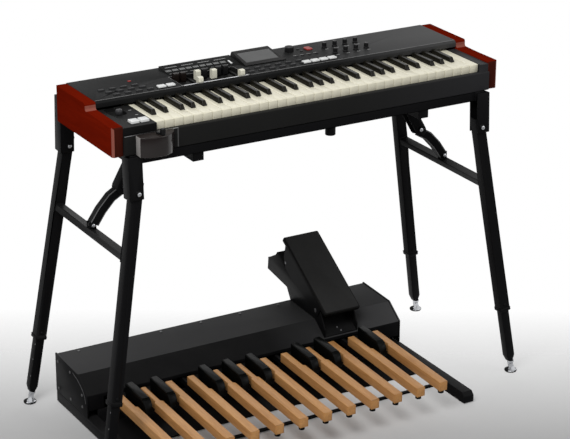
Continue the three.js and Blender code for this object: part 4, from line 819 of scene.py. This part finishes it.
refined("stand_frame", CONSOLE, "tube", [TUBE], FRAME_EDGE)
for node in ("left_leg_frame", "right_leg_frame"):
    refined(node, CONSOLE, "tube", [TUBE], TUBE_EDGE, 3, shape=slim_bar)
for node in ("left_stay", "right_stay"):
    refined(node, CONSOLE, "tube", [TUBE], FRAME_EDGE)
stay_cover(-1, "left_stay_channel")
stay_cover(1, "right_stay_channel")
for end_name, end in (("front", -1), ("rear", 1)):
    for side_name, side in (("left", -1), ("right", 1)):
        leg_form("inner_leg_%s_%s" % (end_name, side_name), side, end)


# Pedals

PEDAL_FRONT = -325.0 + SHIFT_Y
PEDAL_BACK = -14.0 + SHIFT_Y
PEDAL_SLOPE = 0.0295
PEDAL_FRONT_TOP = 87.0
PEDAL_THICK = 23.0
PEDAL_ROOT = PEDAL_FRONT_TOP - PEDAL_THICK - MARGIN
PEDAL_FIRST = -430.3
PEDAL_PITCH = 63.8
PEDAL_EDGE = 2.0
BUMPER_ZONE = 40.0
WOOD_ROOT = ((0, PEDAL_FRONT * MM, (PEDAL_ROOT - MARGIN) * MM), (0, -PEDAL_SLOPE, 1))
SHARP_MIDDLES = [PEDAL_FIRST + PEDAL_PITCH * (i - 0.5) for i in (1, 2, 4, 5, 6, 8, 9, 11)]
SHARP_EDGE = 2.4
SHARP_BACK = 10.0
SHARP_HALF = 13.5
SHARP_FRONT = -97.8
SHARP_ROOT = 66.0
SHARP_CROWN = 85.0
SHARP_CORE = 7.5
SHARP_SHARES = (0.66, 0.95)
NOSE_DROP = 9.0
NOSE_FADE = 12.0


def underside(y):
    return PEDAL_ROOT + (y - PEDAL_FRONT) * PEDAL_SLOPE


def pedal_part(back):
    """Wood or lacquer above, and the steel arm or the rubber bumper below or behind it."""
    def choose(face):
        middle = middle_of(face)
        if middle.y > back or middle.z < underside(middle.y) - 2 * MARGIN:
            return 1 if middle.y > PEDAL_FRONT + BUMPER_ZONE else 2
        return 0
    return choose


def sharp_shape(bm):
    """Narrower raised pedals with a lower, rounder nose."""
    for vert in bm.verts:
        x, y, z = vert.co / MM
        middle = min(SHARP_MIDDLES, key=lambda m: abs(m - x))
        if y > SHARP_BACK or abs(x - middle) > SHARP_HALF:
            continue
        if z > SHARP_ROOT and abs(x - middle) > SHARP_CORE:
            share = SHARP_SHARES[0] if x < middle else SHARP_SHARES[1]
            vert.co.x = (middle + (x - middle) * share) * MM
        if z > SHARP_CROWN and y < 0.0:
            vert.co.z = (z - NOSE_DROP * math.exp(-(y - SHARP_FRONT) / NOSE_FADE)) * MM


def housing_part(face):
    """Top and front slope of the housing, apart from its sides; both take painted light, the top
    lighter all over and the slope lighter towards +X.
    """
    if face.normal.z > 0.97:
        return 1
    return 2 if face.normal.z > 0.4 and face.normal.y < 0.0 else 0


for node in ("natural_pedals_1", "natural_pedals_2"):
    refined(node, node, "pedal_wood", [MAPLE, HOUSING, RUBBER], PEDAL_EDGE, 3,
            choose=pedal_part(PEDAL_BACK + 0.5), cut=WOOD_ROOT)
refined("sharp_pedals", "sharp_pedals", "sharp", [SHARP, HOUSING], SHARP_EDGE, 3,
        choose=pedal_part(PEDAL_BACK + 10.5), shape=sharp_shape)
refined("pedal_housing", PEDALBOARD, "case_metal", [HOUSING, HOUSING_LIT_TOP, HOUSING_LIT_SLOPE], 1.2,
        choose=housing_part)
refined("pedal_frame", PEDALBOARD, "case_metal", [HOUSING], FRAME_EDGE)
refined("expression_bracket", PEDALBOARD, "case_metal", [HOUSING], SHEET_EDGE)


# Expression pedal

TREAD_PIVOT = (199.0, 63.0 + SHIFT_Y, 148.0)
TREAD_ANGLE = 0.56
TREAD_HALF = 51.0
PLATE_HALF = 47.7
HEEL = -38.0
TOE = 209.0
PAD_INSET = 3.5
EAR_RADIUS = 14.0
EAR_STEPS = 11
SKIRT_INSET = 0.6
PIVOT_HEAD = [(0, -1.0), (5.2, -1.0), (5.2, 0.1), (4.0, 0.45), (0, 0.5)]
SKIRT_HEAD = [(0, -1.0), (3.4, -1.0), (3.4, 0.2), (2.4, 0.5), (0, 0.5)]
PIVOT_PIN = [(0, -50.0), (4.0, -50.0), (4.0, 50.0), (0, 50.0)]
COVER_RIM = [(92.0, 152.0), (211.0, 198.6), (257.2, 233.6), (263.5, 224.5), (298.0, 200.5),
             (302.0, 177.0), (296.0, 173.5), (290.0, 196.0), (258.0, 216.0), (212.0, 190.0),
             (94.0, 146.0)]
COVER_INSET = 3.2


def side_head(bm, x, y, z, profile, segments):
    """A low head on the left or right side of the tread, facing outwards."""
    aim = Matrix.Rotation(math.copysign(math.pi / 2, x), 4, "Y")
    turned(bm, profile, segments, Matrix.Translation(metres((x, y, z))) @ aim, 1)


def tread_form():
    """A plate with a pad on top, side skirts that reach down round the pivot, and the pin."""
    plate = bmesh.new()
    rounded_plate(plate, (-TREAD_HALF, HEEL, 23.0), (TREAD_HALF, TOE, 32.2), 5.0, 2.4)
    pad = bmesh.new()
    rounded_plate(pad, (-TREAD_HALF + PAD_INSET, HEEL + PAD_INSET, 31.0),
                  (TREAD_HALF - PAD_INSET, TOE - PAD_INSET, 33.0), 4.0, 0.7)
    sides = bmesh.new()
    turns = [math.pi * (1.0 + 0.08 * k) for k in range(EAR_STEPS)]
    ear = [(EAR_RADIUS * math.cos(a), EAR_RADIUS * math.sin(a)) for a in turns]
    skirt = [(190.0, 23.5), (-EAR_RADIUS, 23.5), *ear, (120.0, -27.0), (156.0, -29.0), (178.0, -10.0)]
    skirt_half = TREAD_HALF - SKIRT_INSET
    outline_x(sides, skirt, -skirt_half, -PLATE_HALF - SEAT)
    outline_x(sides, skirt, PLATE_HALF + SEAT, skirt_half)
    for side in (-1, 1):
        side_head(sides, side * (TREAD_HALF - 0.5), 0, 0, PIVOT_HEAD, 24)
    turned(sides, PIVOT_PIN, 20, Matrix.Rotation(math.pi / 2, 4, "Y"), 1)
    for side in (-1, 1):
        side_head(sides, side * skirt_half, 164.0, -16.0, SKIRT_HEAD, 20)
    matrix = Matrix.Translation(Vector(TREAD_PIVOT) * MM) @ Matrix.Rotation(TREAD_ANGLE, 4, "X")
    for form in (plate, pad, sides):
        bmesh.ops.transform(form, matrix=matrix, verts=form.verts)
    place(piece_from(plate, "expression_tread_plate", [RUBBER]), TREAD, "tread", TREAD)
    place(piece_from(pad, "expression_tread_pad", [PAD]), TREAD, "tread")
    place(piece_from(sides, "expression_tread_sides", [HOUSING, PIN]), TREAD, "tread")


def bracket_cover():
    """Cover between the side plates of the bracket, below their upper edge."""
    bm = bmesh.new()
    reach = PLATE_HALF - COVER_INSET
    outline_x(bm, [(y + SHIFT_Y, z) for y, z in COVER_RIM], TREAD_PIVOT[0] - reach,
              TREAD_PIVOT[0] + reach)
    place(piece_from(bm, "expression_bracket_cover", [HOUSING]), PEDALBOARD, "case_metal")


tread_form()
bracket_cover()


# Knobs, dial and levers

# Profiles of radius and height above the seat
KNOB_BODY = [(0, 0), (6.3, 0), (6.5, 0.4), (6.5, 2.6), (6.1, 3.2), (5.2, 3.8), (4.9, 11.6),
             (4.5, 12.5), (3.6, 13.0), (0, 12.8)]
# The top disc is paler than the knob: a painted highlight
KNOB_CAP = [(0, 12.8), (3.4, 12.95), (3.4, 13.15), (0, 13.15)]
KNOB_RIBS = 18
DIAL_BODY = [(0, 0), (10.6, 0), (11.0, 0.4), (11.0, 9.0), (10.7, 10.6), (9.8, 11.7),
             (8.6, 12.0), (6.6, 11.8), (5.6, 11.0), (0, 10.8)]
DIAL_RIBS = 40
BENDER_BODY = [(0, 0), (2.4, 0.4), (4.4, 1.8), (5.6, 4.6), (5.6, 8.0), (7.6, 9.8), (8.0, 11.0),
               (8.0, 16.6), (7.4, 18.9), (6.0, 20.3), (4.0, 20.9), (0, 21.0)]
BENDER_PLACE = (-440.0, -78.0 + SHIFT_Y)
BENDER_SLOT = 10.0


def raised(profile, base):
    return [(radius, base + height) for radius, height in profile]


def knob_form(name, x, y):
    """A skirt and a ribbed grip, with a pale line on the grip and one on the skirt, and a paler top
    disc that is a painted highlight.
    """
    base = PANEL_TOP + SEAT
    bm = bmesh.new()
    turned(bm, raised(KNOB_BODY, base), 36)
    turned(bm, raised(KNOB_CAP, base), 24, None, 2)
    for i in range(KNOB_RIBS):
        rib = block(bm, (4.7, -0.28, base + 4.0), (5.35, 0.28, base + 11.4))
        turn = Matrix.Rotation(2 * math.pi * i / KNOB_RIBS, 3, "Z")
        bmesh.ops.rotate(bm, verts=rib, cent=(0, 0, 0), matrix=turn)
    block(bm, (-0.45, 1.2, base + 12.2), (0.45, 4.6, base + 13.15), 1)
    block(bm, (-0.45, 5.0, base + 2.9), (0.45, 6.2, base + 3.45), 1)
    shift(bm, x, y)
    made = piece_from(bm, name + "_finish", [KNOB, LEGEND_AND_HIGHLIGHT, KNOB_HIGHLIGHT])
    place(made, name, "black_knob", name)


def dial_form():
    """A dial with a dished top and fine ribs round its side."""
    base = PANEL_TOP + SEAT
    bm = bmesh.new()
    turned(bm, raised(DIAL_BODY, base), 60)
    shift(bm, *DIAL)
    place(piece_from(bm, "value_dial_finish", [KNOB]), "value_dial", "black_knob", "value_dial")
    rib = bmesh.new()
    block(rib, (-0.35, -0.45, -3.6), (0.25, 0.45, 3.6))
    ribs = piece_from(rib, "value_dial_ribs", [KNOB])
    ring(ribs, KNOB, (*DIAL, base + 5.6), DIAL_RIBS, 10.7)
    place(ribs, "value_dial", "black_knob")


def bender_form():
    """A round foot in the slot, with a wider grip above it."""
    bm = bmesh.new()
    turned(bm, raised(BENDER_BODY, BLOCK_TOP - BENDER_SLOT + SEAT), 40)
    shift(bm, *BENDER_PLACE)
    made = piece_from(bm, "bender_lever_finish", [BENDER])
    place(made, "bender_lever", "black_knob", "bender_lever")


for i in range(8):
    knob_form("knob_%d" % (i + 1), KNOB_FIRST + KNOB_PITCH * (i % 4), KNOB_ROWS[i // 4])
dial_form()
bender_form()


# Painted highlights: bright lines of the console

PANEL_LIP = 5.0
RAIL_LINE_END = -345.0


def strip(name, low, high, mat):
    bm = bmesh.new()
    block(bm, low, high)
    place(piece_from(bm, name, [mat]), CONSOLE, "panel")


def bright_lines():
    """Painted highlights: lines along the panel's front edge, the drawbars' rim and the rail's top."""
    y = PANEL_FRONT + PANEL_LIP
    low, high = PANEL_TOP - 0.6, PANEL_TOP + 0.15
    end = INNER_HALF - 1.0
    strip("lip_line_left", (-end, y - 0.4, low), (WELL[0] - 6.0, y + 1.4, high), EDGING_AND_HIGHLIGHT)
    strip("lip_line_right", (WELL[1] + 6.0, y - 0.4, low), (end, y + 1.4, high), EDGING_AND_HIGHLIGHT)
    strip("well_rim_line", (WELL[0] + 1.0, y - 1.4, PANEL_TOP + 0.2),
          (WELL[1] - 1.0, y + 1.6, PANEL_TOP + 1.1), STEEL_AND_HIGHLIGHT)
    strip("rail_top_line", (-end, RAIL_FRONT + 0.2, 780.4),
          (RAIL_LINE_END, RAIL_FRONT + 1.8, 781.5), STEEL_AND_HIGHLIGHT)
    strip("rail_upright_line", (RAIL_LINE_END - 2.4, RAIL_FRONT - 0.5, 738.0),
          (RAIL_LINE_END, RAIL_FRONT + 0.6, 780.8), EDGING_AND_HIGHLIGHT)


bright_lines()


# Marks and small caps of the panel

FIELD_FIRST = -241.0
FIELD_PITCH = 17.6
LABEL_SET = 12.5
TAB_LABEL = 10.0
BUTTON_LABEL = 7.0
EFFECT_FIRST = 76.0
EFFECT_PITCH = 18.0


def wedge_marks():
    """Blank fields and a tick on the slope of the wedge behind the drawbars."""
    slope = math.atan2(WEDGE_RISE, WEDGE_BACK - WEDGE_FRONT)

    def laid(name, mat, size, start, count, step):
        x, run = start
        form = bmesh.new()
        block(form, (-size[0] / 2, -size[1] / 2, -0.3), (size[0] / 2, size[1] / 2, 0.1))
        bmesh.ops.rotate(form, verts=form.verts, cent=(0, 0, 0), matrix=Matrix.Rotation(slope, 3, "X"))
        made = piece_from(form, name, [mat])
        z = PANEL_TOP + 1.0 + run * math.tan(slope)
        rows(made, mat, (x, WEDGE_FRONT + run, z), count, step)
        place(made, CONSOLE, "panel")

    laid("drawbar_fields_front", FIELD, (14.0, 9.0), (FIELD_FIRST, 25.0), 9, FIELD_PITCH)
    laid("drawbar_fields_middle", FIELD, (10.0, 2.0), (FIELD_FIRST, 8.0), 9, FIELD_PITCH)
    laid("drawbar_fields_rear", LEGEND_AND_HIGHLIGHT, (30.0, 1.6), (-226.0, 42.0), 4, 42.0)
    laid("drawbar_tick", TAB_WHITE, (4.5, 18.0), (-84.0, 20.0), 1, 0.0)


def tabs(name, body, size, corner, start, count, step, sunk):
    """White tabs that cover the plain ones of the body they ride."""
    caps = cap_form(name, TAB_WHITE, size, corner, 0.9, sunk)
    rows(caps, TAB_WHITE, start, count, step)
    place(caps, body, "key_white")


def marks(name, x, y, count, step, size, z=PANEL_TOP, row_count=1, row_step=0):
    """Rows of blank printed marks that lie on the panel, and pale marks on the key block that are
    painted highlights.
    """
    bm = bmesh.new()
    block(bm, (-size[0] / 2, -size[1] / 2, -0.3), (size[0] / 2, size[1] / 2, 0.08))
    made = piece_from(bm, name, [LEGEND_AND_HIGHLIGHT])
    rows(made, LEGEND_AND_HIGHLIGHT, (x, y, z), count, step, row_count, row_step)
    place(made, CONSOLE, "panel")


def small_buttons(name, mat, x, y, count, step, size, row_count=1, row_step=0, rise=1.8):
    caps = cap_form(name, mat, (*size, rise), min(size) * 0.3, 0.5)
    rows(caps, mat, (x, y, PANEL_TOP), count, step, row_count, row_step)
    place(caps, CONSOLE, "black_knob")


wedge_marks()
for name, body, x, count in (("tab_caps_left", "left_buttons", LEFT_TAB, 2),
                             ("tab_caps_right", "middle_buttons", RIGHT_TAB, 4)):
    tabs(name, body, (18.8, 14.6, 3.2), 1.6, (x, TAB_ROW, PANEL_TOP + 1.5), count, TAB_PITCH, 0.0)
tabs("block_tab_caps", CONSOLE, (20.0, 20.0, 5.2), 1.8, (-436.2, -133.0, BLOCK_TOP), 2, 23.6, 2.0)
for name, y in zip(("knob_labels_rear", "knob_labels_front"), KNOB_ROWS):
    marks(name, KNOB_FIRST, y - LABEL_SET, 4, KNOB_PITCH, (9.0, 1.6))
marks("tab_labels_right", RIGHT_TAB, TAB_ROW + TAB_LABEL, 4, TAB_PITCH, (10.0, 1.4))
marks("tab_labels_left", LEFT_TAB, TAB_ROW + TAB_LABEL, 2, TAB_PITCH, (10.0, 1.4))
marks("middle_labels", -74.0, TAB_ROW + BUTTON_LABEL, 6, BUTTON_PITCH, (9.0, 1.2),
      row_count=2, row_step=ROW_PITCH)
for row in range(3):
    marks("left_labels_%d" % row, LEFT_TAB - BUTTON_PITCH * (4 + row / 3),
          TAB_ROW + BUTTON_LABEL + ROW_PITCH * row, 4, BUTTON_PITCH, (9.0, 1.2))
small_buttons("effect_buttons", BUTTON, EFFECT_FIRST, 40.0 + SHIFT_Y, 4, EFFECT_PITCH, (8.0, 5.0))
small_buttons("red_buttons", RED, 131.0, 80.0 + SHIFT_Y, 1, 0, (16.0, 22.0), rise=2.6)
small_buttons("record_button", RED, -347.0, 60.0 + SHIFT_Y, 1, 0, (8.0, 5.0))
small_buttons("cursor_buttons", BUTTON, 108.0, 88.0 + SHIFT_Y, 1, 0, (7.0, 5.0),
              row_count=2, row_step=-17.0)
marks("effect_labels", EFFECT_FIRST, 48.0 + SHIFT_Y, 4, EFFECT_PITCH, (8.0, 1.2))
# Two pale streaks on the key block, painted highlights
marks("left_block_painted_highlight", -408.0, -100.0 + SHIFT_Y, 1, 0, (7.0, 2.2), BLOCK_TOP,
      row_count=2, row_step=34.0)

DISPLAY_MIDDLE = (-12.0, 68.0 + SHIFT_Y, 827.3)
DISPLAY_TILT = math.atan2(13.0, 78.0)


def screen_window():
    """Brighter field of the display, set in its dark border."""
    bm = bmesh.new()
    block(bm, (-36.0, -20.0, -0.2), (36.0, 20.0, 0.12))
    matrix = Matrix.Translation(Vector(DISPLAY_MIDDLE) * MM) @ Matrix.Rotation(DISPLAY_TILT, 4, "X")
    bmesh.ops.transform(bm, matrix=matrix, verts=bm.verts)
    place(piece_from(bm, "display_field", [WINDOW]), CONSOLE, "screen")


screen_window()


# Screws and bolts

BRACKET_SCREWS = [(196.7, 46.8, 102.1), (203.2, 38.2, 95.8)]
PLATE_EDGE = [(104.0, 118.0), (82.0, 112.0), (62.0, 103.0), (46.0, 91.0), (38.0, 79.0), (34.0, 66.0)]
END_SCREWS = [(45.0, 50.0), (45.0, 80.0), (110.0, 42.0), (110.0, 112.0), (178.0, 42.0), (178.0, 112.0)]
TOP_SCREWS = [(-440.0 + 110.0 * i, 180.0 + SHIFT_Y, 126.8) for i in range(6)]
PIVOT_BOLTS = [(side * 450.5, y, 651.0) for side in (-1, 1) for y in (174.9, -183.4)]
STAY_BOLTS = [(side * x, y, z) for side in (-1, 1)
              for x, y, z in ((398.7, -2.0, 600.0), (475.0, 4.9, 518.4))]


def end_plate_line():
    """Painted highlight: a pale line along the front edge of the left end plate."""
    bm = bmesh.new()
    outline = PLATE_EDGE + [(y + 1.2, z - 1.6) for y, z in PLATE_EDGE[::-1]]
    outline_x(bm, outline, BOARD_LEFT - 0.5, BOARD_LEFT + 0.5)
    place(piece_from(bm, "end_plate_line", [DARK_STEEL_AND_HIGHLIGHT]), PEDALBOARD, "case_metal")


def end_screws(name, x, side):
    spots = [(x, y + SHIFT_Y, z) for y, z in END_SCREWS]
    screws_facing(name, spots, (side, 0, 0), PEDALBOARD, 3.6, 1.6, DARK_STEEL_AND_HIGHLIGHT)


screws_facing("bracket_front_screws", BRACKET_SCREWS, (0, -0.59, 0.81), PEDALBOARD, 2.4, 1.2, PIN)
end_plate_line()
end_screws("end_screws_left", BOARD_LEFT, -1)
end_screws("end_screws_right", BOARD_RIGHT, 1)
screws_facing("housing_screws", TOP_SCREWS, (0, 0, 1), PEDALBOARD, 3.4, 1.3, DARK_STEEL_AND_HIGHLIGHT)
screws_facing("pivot_bolt_faces", PIVOT_BOLTS, (0, -1, 0), CONSOLE, 4.6, 1.2)
screws_facing("stay_bolt_faces", STAY_BOLTS, (0, -1, 0), CONSOLE, 4.4, 1.2)


# Camera, light and floor

SENSOR = 36.0
FOCAL_PIXELS = 2082.54
PHOTO_WIDTH = 570.0
CAMERA_SPOT = (-2286.21, -3968.68 + SHIFT_Y, 2249.46)
CAMERA_RIGHT = (0.86508, -0.50162, 0.00430)
CAMERA_UP = (0.18083, 0.31982, 0.93006)
CAMERA_BACK = (-0.46791, -0.80380, 0.36738)
ROOM_LIGHT = 0.16
FLOOR_REACH = 30.0
# The way into the picture along the floor, and where along it the floor fades, in metres
VIEW_WAY = (0.503, 0.864, 0.0)
FLOOR_FADE = (-0.25, 0.47)


def set_camera():
    data = bpy.data.cameras.new("view")
    data.sensor_fit = "HORIZONTAL"
    data.sensor_width = SENSOR
    data.lens = SENSOR * FOCAL_PIXELS / PHOTO_WIDTH
    data.clip_start = 0.1
    data.clip_end = 100.0
    camera = bpy.data.objects.new("view", data)
    bpy.context.collection.objects.link(camera)
    turn = Matrix((CAMERA_RIGHT, CAMERA_UP, CAMERA_BACK)).transposed().to_4x4()
    camera.matrix_world = Matrix.Translation(Vector(CAMERA_SPOT) * MM) @ turn
    bpy.context.scene.camera = camera


def area_light(name, spot, target, size, power):
    data = bpy.data.lights.new(name, "AREA")
    data.shape = "RECTANGLE"
    data.size, data.size_y = size
    data.energy = power
    lamp = bpy.data.objects.new(name, data)
    lamp.location = spot
    lamp.rotation_euler = (Vector(target) - Vector(spot)).to_track_quat("-Z", "Y").to_euler()
    bpy.context.collection.objects.link(lamp)


def set_world():
    """A surround that is white where it is seen, and dimmer as a light."""
    world = bpy.data.worlds.new("studio")
    bpy.context.scene.world = world
    world.use_nodes = True
    tree = world.node_tree
    back = tree.nodes["Background"]
    plug(tree, back, "Color", (1, 1, 1, 1))
    path = add(tree, "ShaderNodeLightPath")
    seen = math_node(tree, "MAXIMUM", path.outputs["Is Camera Ray"],
                     path.outputs["Is Transmission Ray"])
    share = math_node(tree, "MAXIMUM", seen, path.outputs["Is Glossy Ray"])
    strength = add(tree, "ShaderNodeMapRange", Value=share, To_Min=ROOM_LIGHT, To_Max=1.0)
    plug(tree, back, "Strength", strength.outputs[0])


def set_floor():
    """A lit floor near the object, which gives way to the white surround behind it."""
    bm = bmesh.new()
    bmesh.ops.create_grid(bm, x_segments=1, y_segments=1, size=FLOOR_REACH)
    made, tree, shader = blank_material("pale_floor")
    spot = own_spot(tree)
    fade = noise(tree, spot, 0.6)
    pale = mix_color(tree, times(tree, fade, 0.1), (0.56, 0.56, 0.56, 1), (0.53, 0.53, 0.53, 1))
    plug(tree, shader, "Base Color", pale)
    plug(tree, shader, "Roughness", 0.8)
    plug(tree, shader, "Specular IOR Level", 0.2)
    away = add(tree, "ShaderNodeVectorMath", {"operation": "DOT_PRODUCT"}, i0=spot, i1=VIEW_WAY)
    share = add(tree, "ShaderNodeMapRange", Value=away.outputs["Value"],
                From_Min=FLOOR_FADE[0], From_Max=FLOOR_FADE[1])
    clear = add(tree, "ShaderNodeBsdfTransparent").outputs[0]
    both = add(tree, "ShaderNodeMixShader", i0=share.outputs[0], i1=shader.outputs[0], i2=clear)
    plug(tree, tree.nodes["Material Output"], "Surface", both.outputs[0])
    piece_from(bm, "floor", [made])


set_camera()
set_world()
set_floor()
area_light("key", (-2.2, -1.8, 3.9), (0, 0, 0.4), (2.2, 2.2), 140.0)
area_light("fill", (3.0, -3.2, 2.4), (0, 0, 0.5), (2.5, 2.0), 35.0)
area_light("rim", (1.9, 3.0, 3.0), (0.2, 0, 0.6), (4.0, 1.0), 20.0)
bpy.context.scene.view_settings.view_transform = "Standard"

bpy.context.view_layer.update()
